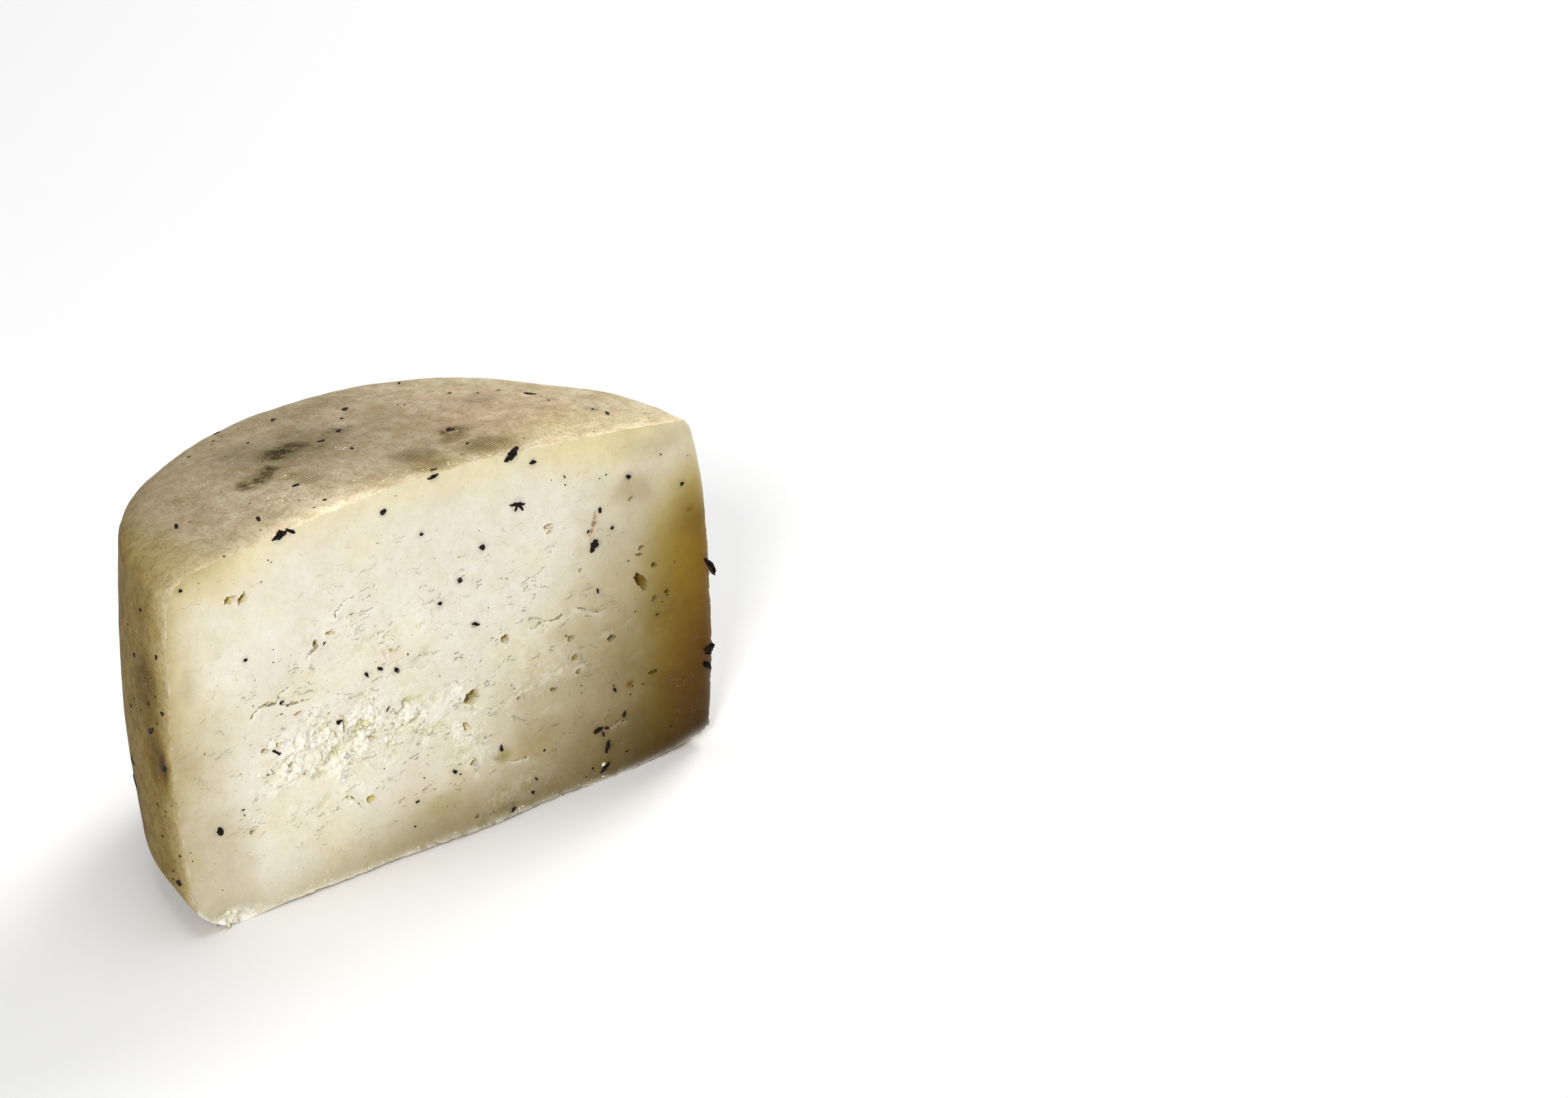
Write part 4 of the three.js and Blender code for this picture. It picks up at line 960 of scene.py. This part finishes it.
class Finish:
    """A procedural material, with what makes and joins its shader nodes"""

    def __init__(self, name, colour=(0, 0, 0)):
        self.material = bpy.data.materials.new(name)
        self.material.use_nodes = True
        self.shader = self.material.node_tree.nodes["Principled BSDF"]
        self.colour = (*colour, 1)

    def feed(self, value, socket):
        if isinstance(value, bpy.types.NodeSocket):
            self.material.node_tree.links.new(value, socket)
        else:
            socket.default_value = value

    def node(self, kind, settings=(), **inputs):
        """A shader node with its settings and inputs, an input being a value or another node's output"""
        made = self.material.node_tree.nodes.new("ShaderNode" + kind)
        for key, value in dict(settings).items():
            setattr(made, key, value)
        for key, value in inputs.items():
            self.feed(value, made.inputs[int(key[1:])] if key[0] == "_" else made.inputs[key])
        return made

    def painted(self, name, kind="Fac"):
        """What is painted on the corners of the skin under a name"""
        return self.node("Attribute", {"attribute_name": name}).outputs[kind]

    def noise(self, size, detail=3, rough=0.6, turn=(0, 0, 0), scale=(1, 1, 1), shift=(0, 0, 0)):
        """Noise whose lumps are so many millimetres apart, as a value round 0.5"""
        place = self.node("TexCoord").outputs["Object"]
        place = self.node("Mapping", Vector=place, Rotation=turn, Scale=scale, Location=shift).outputs[0]
        made = self.node("TexNoise", Vector=place, Scale=1 / (size * MM), Detail=detail, Roughness=rough)
        return made.outputs["Fac"]

    def ramp(self, value, start, end, low=0.0, high=1.0):
        """A value that goes smoothly from low to high as another goes from start to end"""
        marks = {"From Min": start, "From Max": end, "To Min": low, "To Max": high}
        made = self.node("MapRange", {"interpolation_type": "SMOOTHSTEP"}, Value=value, **marks)
        return made.outputs["Result"]

    def math(self, operation, first, second):
        return self.node("Math", {"operation": operation}, _0=first, _1=second).outputs[0]

    def product(self, first, *others):
        for other in others:
            first = self.math("MULTIPLY", first, other)
        return first

    def band(self, value, start, full, fading, end):
        """1 where a value lies between two marks, with soft sides"""
        return self.product(self.ramp(value, start, full), self.ramp(value, fading, end, 1, 0))

    def mix(self, share, other, blend="MIX"):
        """Mixes a share of another colour into the colour so far"""
        settings = {"data_type": "RGBA", "blend_type": blend}
        self.colour = self.node("Mix", settings, _0=share, _6=self.colour, _7=(*other, 1)).outputs[2]

    def tint(self, share, tint):
        """Lays a share of a tint over the colour so far, which only darkens it"""
        self.mix(share, tint, "MULTIPLY")

    def finish(self, rough, gloss, bumps):
        """Sets the shader's colour, roughness and gloss, and its bumps one on another: the height of
        each, its depth in millimetres and its strength"""
        self.feed(self.colour, self.shader.inputs["Base Color"])
        self.feed(rough, self.shader.inputs["Roughness"])
        self.shader.inputs["Specular IOR Level"].default_value = gloss
        under = {}
        for height, deep, strength in bumps:
            made = self.node("Bump", Height=height, Distance=deep * MM, Strength=strength, **under)
            under = {"Normal": made.outputs["Normal"]}
        self.feed(under["Normal"], self.shader.inputs["Normal"])


# The cut paste is greasy and close, with fine pores, specks of truffle dust and a drag from the
# knife, which left thin lips of paste with a gap behind them. The lips are painted white as
# highlights, and the gaps and cracks darker as painted shade, besides their bumps.
cut = Finish("cut_paste")
cut.colour = cut.painted("paste_shade", "Color")
ragged_here = cut.painted("dragged_here")
clouds = cut.noise(3.2, 4)
patches = cut.noise(8, 3)
curd = cut.noise(0.9, 2)
pores = cut.ramp(cut.noise(1.1, 2), 0.69, 0.73)
crack_jags = cut.ramp(cut.noise(1, 3), 0.35, 0.65, -0.15, 0.3)
crack_line = cut.ramp(cut.math("ADD", cut.painted("cracked_here"), crack_jags), 0.2, 0.34, 1, 0)
knife_way = (0, -math.radians(DRAG_TURN), 0)
drag = cut.noise(0.7, 3, 0.6, knife_way, (0.22, 1, 1))
tears = cut.noise(4.2, 7, 0.68, knife_way, (0.4, 1, 1))
tears_below = cut.noise(4.2, 7, 0.68, knife_way, (0.4, 1, 1), (0, 0, -0.4 * MM))
upwards = cut.ramp(cut.math("SUBTRACT", tears_below, tears), 0, 0.006)
clusters = cut.product(cut.ramp(cut.noise(4, 3), 0.5, 0.56), cut.ramp(patches, 0.45, 0.56, 0.12, 1))
tear_places = cut.product(clusters, ragged_here, upwards)
lips = cut.product(cut.band(tears, 0.5, 0.503, 0.505, 0.53), tear_places)
gaps = cut.product(cut.band(tears, 0.492, 0.496, 0.498, 0.501), tear_places)
white_bits = cut.ramp(cut.noise(0.7, 2, 0.7), 0.66, 0.72, 0, 0.5)
white_bits = cut.product(white_bits, cut.ramp(ragged_here, 0.35, 0.8, 0.08, 1))
cut.tint(cut.ramp(patches, 0.42, 0.62), (0.985, 0.97, 0.94))
cut.tint(cut.ramp(clouds, 0.4, 0.66, 0, 0.5), (0.93, 0.915, 0.84))
cut.tint(cut.ramp(curd, 0.55, 0.75, 0, 0.45), (0.88, 0.865, 0.79))
# Painted highlight on the lips' upper edges
cut.mix(lips, BROKEN_AND_HIGHLIT)
cut.mix(white_bits, BROKEN_AND_HIGHLIT)
cut.tint(cut.product(pores, 0.5), (0.8, 0.75, 0.58))
# Painted shade in the cracks and in the gaps behind the lips
cut.tint(cut.product(crack_line, 0.8), (0.4, 0.34, 0.2))
cut.tint(cut.product(gaps, 0.7), (0.78, 0.67, 0.45))
cut.tint(cut.ramp(cut.noise(0.5, 1), 0.775, 0.8, 0, 0.75), (0.25, 0.2, 0.13))
cut.finish(
    cut.ramp(clouds, 0.3, 0.7, 0.42, 0.62), 0.1,
    [(clouds, 0.2, 0.5), (lips, 0.34, 0.95), (gaps, -0.05, 0.5), (pores, -0.2, 0.6),
     (crack_line, -0.3, 0.8), (drag, 0.08, 0.4), (curd, 0.1, 0.5), (white_bits, 0.16, 0.6)],
)

# The rind is dull and dry, grained, pitted, mouldy in places, and printed with its cloth's threads
THREAD_PITCH = 0.72
WAVE_SCALE = math.pi / 10  # a wave texture's scale for waves one unit apart

dry = Finish("dry_rind")
dry.colour = dry.painted("rind_shade", "Color")
blotches = dry.noise(3.4, 5, 0.65)
grains = dry.noise(0.8, 3, 0.7)
pits = dry.noise(1.3, 2)
flecks = dry.noise(0.62, 1)
mould = dry.product(dry.painted("mouldy_here"), dry.ramp(dry.noise(2.6, 8, 0.75), 0.36, 0.62, 0.2, 1.7))
threads = []
for direction in ("X", "Y"):
    settings = {"wave_type": "BANDS", "bands_direction": direction}
    shape = {"Scale": WAVE_SCALE / (THREAD_PITCH * MM), "Distortion": 1.6, "Detail": 1, "Detail Scale": 0.5}
    wave = dry.node("TexWave", settings, Vector=dry.node("TexCoord").outputs["Object"], **shape)
    threads.append(wave.outputs["Fac"])
holes = dry.ramp(dry.math("MAXIMUM", *threads), 0.4, 0.66, 1, 0)
holes = dry.product(holes, dry.ramp(dry.painted("cloth_print"), 0, 0.7))
dry.tint(dry.ramp(blotches, 0.36, 0.66, 0, 0.75), (0.74, 0.68, 0.56))
dry.tint(dry.ramp(grains, 0.45, 0.7, 0, 0.75), (0.66, 0.6, 0.5))
dry.tint(dry.ramp(pits, 0.66, 0.76, 0, 0.6), (0.36, 0.27, 0.16))
dry.tint(holes, (0.24, 0.18, 0.09))
dry.tint(dry.ramp(mould, 0.05, 1.1), (0.15, 0.115, 0.035))
dry.mix(dry.ramp(flecks, 0.32, 0.24, 0, 0.32), linear("e6dac0"))
dry.tint(dry.ramp(flecks, 0.74, 0.78, 0, 0.8), (0.16, 0.12, 0.08))
dry.finish(
    dry.ramp(blotches, 0.3, 0.7, 0.62, 0.86), 0.2,
    [(blotches, 0.4, 0.5), (pits, 0.25, 0.5), (grains, 0.15, 0.6), (holes, 0.12, 0.7)],
)

body = mesh_piece("cheese_body", skin, triangles, [cut.material, dry.material])
for name, values in shades.items():
    layer = body.data.color_attributes.new(name, "FLOAT_COLOR", "POINT")
    layer.data.foreach_set("color", np.hstack([values, np.ones((len(values), 1))]).ravel())
for name, values in marks.items():
    body.data.attributes.new(name, "FLOAT", "POINT").data.foreach_set("value", values)
wears_rind = np.arange(len(triangles)) >= len(face_net)
body.data.polygons.foreach_set("material_index", wears_rind.astype(np.int32))
body.data.shade_smooth()
body.data.set_sharp_from_angle(angle=math.radians(60))

# Its skin is laid out flat in a square sheet, the cut at true size and the rind smaller, each with
# its own spot in the sheet. The top is turned a quarter, to lie beside the cut.
FLAT_SQUARE = 192
FACE_SPOT = (76, 1)
TOP_SPOT = (191, 92)
TOP_SCALE = 0.58
WALL_SPOT = (0.6, 97)
WALL_SCALE = 0.6
UNDER_SPOT = (1, 153.5)
UNDER_SCALE = 0.85
flat_face = face_flat + FACE_SPOT
flat_top = TOP_SPOT + TOP_SCALE * (top_flat + (top_long, 0))[..., ::-1] * (-1, 1)
flat_wall = WALL_SPOT + WALL_SCALE * (wall_flat + (0, wall_long))
flat_under = UNDER_SPOT + UNDER_SCALE * (under_flat + (UNDER_LONG, 0))[:, ::-1]
laid_out = np.vstack([flat_face, flat_top, flat_wall, flat_under]) / FLAT_SQUARE
layout = body.data.uv_layers.new(name="OFBake")
layout.data.foreach_set("uv", laid_out.ravel())
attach(body, "root")
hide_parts("cheese_half_wheel")

# The truffle chips are broken bits of black truffle, stirred into the curd. Those in the cut are
# sliced or torn out with it; those in the rind stick out a little, as the paste dried round them.

# In the rind's top: x, y, long, wide, turn. In its side: angle in degrees, height and the same.
TOP_CHIPS = [
    (-9.5, 55.5, 2, 1.3, 40), (5.5, 48.3, 1.9, 1.4, 15), (-10.3, 34.2, 2.2, 0.9, 0),
    (15.5, 20.4, 2.2, 1.6, -25), (45.4, 30.8, 2.7, 1.8, -60), (53, 10.6, 2.6, 0.9, 70),
    (-43.2, 9.4, 3, 0.9, 60), (-28.3, 5.8, 1.3, 0.8, 10), (-56.6, 22, 2.5, 0.8, 65),
    (-28.4, 16.9, 2.4, 0.9, 5), (-3.6, 37.4, 2.3, 0.9, 35), (26, 56, 2, 0.7, 50),
    (-7.7, 25.9, 1.3, 0.9, 80), (13.5, 10.8, 1.1, 0.8, 20), (1.7, 44, 1.2, 0.9, 30), (-2, 1.8, 2.3, 0.8, 5),
    (42.9, 2.2, 0.8, 0.5, 0), (25.7, 6, 0.6, 0.5, 0), (8.4, 5.7, 0.7, 0.5, 40), (16.3, 39.8, 0.8, 0.5, 0),
    (15.4, 41, 0.8, 0.5, 60), (30, 41.2, 1.8, 0.6, 20), (35.8, 38, 0.8, 0.6, 0),
    (41.2, 37.2, 1.2, 0.6, -40), (46, 24, 1, 0.5, 80), (-32, 4.3, 0.7, 0.4, 0), (-32.2, 9.8, 0.7, 0.4, 30),
    (-53.7, 21.2, 0.5, 0.5, 0), (-40.4, 17, 0.6, 0.4, 0), (-45.7, 4.5, 0.6, 0.4, 50),
    (-22, 46.7, 0.8, 0.6, 0), (-22, 60, 1.6, 0.8, 10), (-25.8, 55.3, 0.8, 0.6, 0), (-27.2, 54, 0.6, 0.4, 0),
    (-34.3, 52.5, 0.9, 0.6, 0), (51.3, 14, 1.2, 0.8, 30),
]
SIDE_CHIPS = [
    (176.4, 69.5, 1.5, 1, -60), (177.2, 56.5, 1.9, 1.2, -35), (172.4, 49.5, 3.1, 1.3, -40),
    (176.6, 42.5, 2.2, 1.5, -40), (178.4, 21, 1.4, 0.9, -30), (176.2, 12.6, 3.4, 1.6, -22),
    (167.4, 6.4, 3.2, 1.4, -10), (166, 64.5, 1.3, 1, -30), (170.2, 77.5, 1.3, 0.9, -20),
    (141, 40, 2.2, 1.2, 20), (118, 60, 1.8, 1.3, -35), (96, 33, 2.6, 1.2, 15), (74, 55, 1.8, 1.2, 50),
    (52, 26, 2.4, 1.3, -20), (33, 66, 1.6, 1.1, 35), (14, 38, 2.1, 1.2, -30), (163, 70, 0.9, 0.6, 20),
    (174, 63.4, 0.6, 0.4, 0), (175.2, 59.5, 0.6, 0.5, 0), (172, 56, 1, 0.6, 30), (175, 52.7, 1.3, 0.4, 10),
    (168, 52, 0.7, 0.5, 0), (164.5, 52.7, 0.7, 0.5, 40), (162, 49.3, 1.5, 0.6, 15),
    (175.3, 30.7, 0.8, 0.5, 0), (174.8, 29.2, 0.6, 0.5, 0), (172, 30.5, 1, 0.6, 70),
    (177.8, 33.7, 0.5, 0.4, 0), (173, 24.7, 0.6, 0.4, 0), (172.3, 22.5, 0.9, 0.6, 0),
    (174.6, 14.8, 0.9, 0.6, 20), (173.6, 12, 0.9, 0.6, 0), (159.6, 32.8, 1.3, 0.8, 0),
    (157.4, 32.4, 2, 1, 30), (156.7, 26.5, 4.6, 0.9, 28), (161.5, 5, 0.6, 0.5, 0),
]
# Chips that lie across the rim at the right end: x, z, long, wide, turn in degrees, and how proud
RIM_CHIPS = [(74.5, 46.2, 5, 1.6, 118, 1.12), (73.9, 24, 3, 2.2, 40, 0.96), (73.2, 20.2, 3.4, 1.4, -40, 0.8)]
CHIP_PROUD = 0.24
CHIP_DEEP = 0.7
SPECK_PROUD = 0.08
BIT_DEEP = 0.3  # how deep specks and crumbs are set

shard_spots = []
shard_places = []
shard_faces = []


def shard(at_u, at_v, long, wide, turn, proud, deep=CHIP_DEEP):
    """A broken bit set in a flat sheet: its rings of corners, each with its height over the sheet"""
    corners = int(7 + 3 * long)
    angle = (np.arange(corners) + draw.uniform(-0.32, 0.32, corners)) * 2 * np.pi / corners
    reach = draw.uniform(0.45, 1.4, corners)
    reach = (reach + np.roll(reach, 1)) / 2
    u, v = turned(reach * np.cos(angle) * long / 2, reach * np.sin(angle) * wide / 2, turn)
    first = sum(len(spots) for spots in shard_spots + shard_places)
    rings = ((0.75, -deep, 0), (1.02, -0.12, 0), (0.95, 0.75 * proud, 0.5), (0.5, proud, 0.5))
    for scale, height, rough in rings:
        lift = height + rough * proud * draw.uniform(-1, 0.6, corners)
        shard_spots.append(np.stack([at_u + scale * u, at_v + scale * v, lift], -1))
    shard_spots.append(np.array([(at_u, at_v, -deep), (at_u, at_v, proud * draw.uniform(0.7, 1.4))]))
    bottom, top = first + 4 * corners, first + 4 * corners + 1
    for i in range(corners):
        j = (i + 1) % corners
        shard_faces.append((bottom, first + j, first + i))
        shard_faces.append((top, first + 3 * corners + i, first + 3 * corners + j))
        for ring in range(3):
            a, b = first + ring * corners + i, first + ring * corners + j
            shard_faces.append((a, b, b + corners))
            shard_faces.append((a, b + corners, a + corners))


def set_in(surface):
    """Puts the shards made since the last call into a surface, which gives places and the way out"""
    u, v, lift = np.vstack(shard_spots).T
    places, outwards = surface(u, v)
    shard_places.append(places + outwards * lift[:, None])
    shard_spots.clear()


def cut_skin(x, z):
    return on_cut(x, z), np.array((0, -1, 0))


def top_skin(across, behind):
    return top_place(across, behind), np.array((0, 0, 1))


def side_skin(around, height):
    angle = around / WHEEL_RADIUS
    return side_place(angle, height), np.stack([np.cos(angle), np.sin(angle), 0 * angle], -1)


def gathered(name, material):
    """One piece from all the shards made so far, which are then cleared for the next piece"""
    piece = mesh_piece(name, np.vstack(shard_places), np.array(shard_faces), [material])
    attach(piece, "root")
    shard_places.clear()
    shard_faces.clear()
    return piece


for at_x, at_z, long, wide, turn in CUT_CHIPS:
    shard(at_x, at_z, 1.2 * long, 1.15 * wide, turn, CHIP_PROUD * min(1, wide))
    for _ in range(int(wide - 0.4)):
        off_x, off_z = draw.uniform(-0.4, 0.4, 2) * wide
        shard(at_x + off_x, at_z + off_z, 0.5 * long, 0.5 * wide, draw.uniform(0, 180), CHIP_PROUD, BIT_DEEP)
for at_x, at_z, size in CUT_SPECKS:
    shard(at_x, at_z, size * 1.2, size * 0.8, draw.uniform(0, 180), SPECK_PROUD, BIT_DEEP)
for chip in RIM_CHIPS:
    shard(*chip)
set_in(cut_skin)
for *where, wide, turn in TOP_CHIPS:
    shard(*where, wide, turn, CHIP_PROUD * min(1, wide))
set_in(top_skin)
for degrees, height, long, wide, turn in SIDE_CHIPS:
    shard(math.radians(degrees) * WHEEL_RADIUS, height, long, wide, -turn, CHIP_PROUD * min(1, wide))
set_in(side_skin)

truffle = Finish("black_truffle", (0.006, 0.004, 0.003))
lumps = truffle.noise(1.1)
truffle.mix(truffle.ramp(lumps, 0.45, 0.75), (0.045, 0.026, 0.014))
truffle.mix(truffle.ramp(truffle.noise(0.7, 1), 0.7, 0.76, 0, 0.7), (0.22, 0.19, 0.14))
bumps = [(lumps, 0.15, 0.6), (truffle.noise(0.3, 2), 0.06, 0.6)]
truffle.finish(truffle.ramp(lumps, 0.3, 0.7, 0.3, 0.65), 0.1, bumps)
gathered("truffle_chips", truffle.material)

# Crumbs of paste that the knife tore loose still cling to the torn places and to the foot of the
# cut, and tongues of paste hang over some eyes and a chip. They are whiter than the cut. Bits of
# dried paste stick to the top.
CRUMB_PLACES = [  # x, z, half width, half height, how many, smallest and largest
    (-35, 37, 18, 7.5, 170, 0.35, 1.3),
    (-62, 1.8, 7, 2, 22, 0.4, 1.4),
    (-50, 1.6, 12, 1.2, 30, 0.3, 1),
    (4, 24, 6, 8, 26, 0.3, 0.8),
    (-33, 64, 8, 4.5, 26, 0.3, 0.9),
    (-36.6, 4, 1.6, 3, 9, 0.3, 0.8),
    (8, 1, 40, 0.9, 60, 0.25, 0.7),
    (-20, 57, 11, 3.6, 22, 0.3, 0.7),
]
TONGUES = [
    (-56.8, 79.9, 3, 0.7, -50), (-56.1, 78.6, 2.6, 0.6, -62), (27.5, 70.6, 2.4, 0.45, -12),
    (41.5, 4.2, 1.3, 0.8, 20),
]
# Dried bits on the top: x, y, half width, half depth and how many
FLECKS_ON_TOP = [
    (-33, 13.5, 6, 3, 34), (-27, 23, 2, 1.4, 6), (-9, 28, 3, 2, 7), (-20, 5, 9, 3, 14), (4, 2, 20, 1.4, 26),
]
CRUMB_PROUD = 0.42  # times its size
TONGUE_THICK = 0.5
FLECK_PROUD = 0.06
FLECK_DEEP = 0.2

for at_x, at_z, half_wide, half_tall, count, smallest, largest in CRUMB_PLACES:
    for _ in range(count):
        turn, reach = draw.uniform(0, 2 * math.pi), math.sqrt(draw.random())
        size = smallest + (largest - smallest) * draw.random() ** 3
        crumb_x = at_x + half_wide * reach * math.cos(turn)
        crumb_z = max(at_z + half_tall * reach * math.sin(turn), 0.6 * size)
        wide = size * draw.uniform(0.5, 0.95)
        shard(crumb_x, crumb_z, size, wide, math.degrees(turn), CRUMB_PROUD * size, BIT_DEEP)
for tongue in TONGUES:
    shard(*tongue, TONGUE_THICK, TONGUE_THICK)
set_in(cut_skin)
for at_x, at_y, half_wide, half_deep, count in FLECKS_ON_TOP:
    for _ in range(count):
        spot = draw.normal(0, 0.5, 2) * (half_wide, half_deep)
        size = draw.uniform(0.25, 0.7)
        behind = max(at_y + spot[1], 0.5)
        shard(at_x + spot[0], behind, size, 0.6 * size, draw.uniform(0, 180), FLECK_PROUD, FLECK_DEEP)
set_in(top_skin)

crumb = Finish("crumb_paste", linear("f0e8d2"))
specks = crumb.noise(0.8)
crumb.mix(crumb.ramp(specks, 0.4, 0.7), linear("dccfae"))
crumb.finish(crumb.ramp(specks, 0.3, 0.7, 0.4, 0.6), 0.5, [(specks, 0.12, 0.6)])
crumbs = gathered("paste_crumbs", crumb.material)
crumbs.data.shade_smooth()

# The table is a plain pale top. The light comes from a window at the front left, from a wide one
# behind at the right and from overhead. The camera stands at the left of the cut and looks down.

FLOOR_HALF = 3
CAMERA_PLACE = (-0.4554, -0.6998, 0.4626)
CAMERA_DOWN = math.radians(25.90)
CAMERA_ROUND = math.radians(39.77)
CAMERA_LENS = 91.47

table = Finish("pale_table", (0.9, 0.9, 0.9))
table.feed(table.colour, table.shader.inputs["Base Color"])
table.feed(0.7, table.shader.inputs["Roughness"])
floor_mesh = bpy.data.meshes.new("table_top")
corners = [(FLOOR_HALF * x, FLOOR_HALF * y, 0) for x, y in ((-1, -1), (1, -1), (1, 1), (-1, 1))]
floor_mesh.from_pydata(corners, [], [(0, 1, 2, 3)])
floor_mesh.materials.append(table.material)
shown("table_top", floor_mesh)

scene = bpy.context.scene
scene.world = bpy.data.worlds.new("room")
scene.world.use_nodes = True
room_light = scene.world.node_tree.nodes["Background"]
room_light.inputs["Color"].default_value = (1, 1, 1, 1)
room_light.inputs["Strength"].default_value = 0.2
scene.view_settings.view_transform = "Standard"


def softbox(name, place, aim, wide, power, spread=180):
    lamp = bpy.data.lights.new(name, "AREA")
    lamp.shape = "DISK"
    lamp.size = wide
    lamp.energy = power
    lamp.spread = math.radians(spread)
    holder = shown(name, lamp)
    holder.location = place
    holder.rotation_euler = (Vector(aim) - Vector(place)).to_track_quat("-Z", "Y").to_euler()


softbox("window", (-0.78, -0.76, 0.715), (-0.08, -0.03, 0.065), wide=0.27, power=1.12, spread=60)
softbox("overhead", (0, 0, 1.6), (0, 0, 0), wide=1, power=9)
softbox("far_window", (1.6, 0.7, 1.35), (0, 0, 0.05), wide=0.9, power=29)

lens = bpy.data.cameras.new("camera")
lens.lens = CAMERA_LENS
lens.sensor_width = 36
lens.clip_start = 0.01
camera = shown("camera", lens)
camera.location = CAMERA_PLACE
camera.rotation_euler = (math.pi / 2 - CAMERA_DOWN, 0, -CAMERA_ROUND)
scene.camera = camera
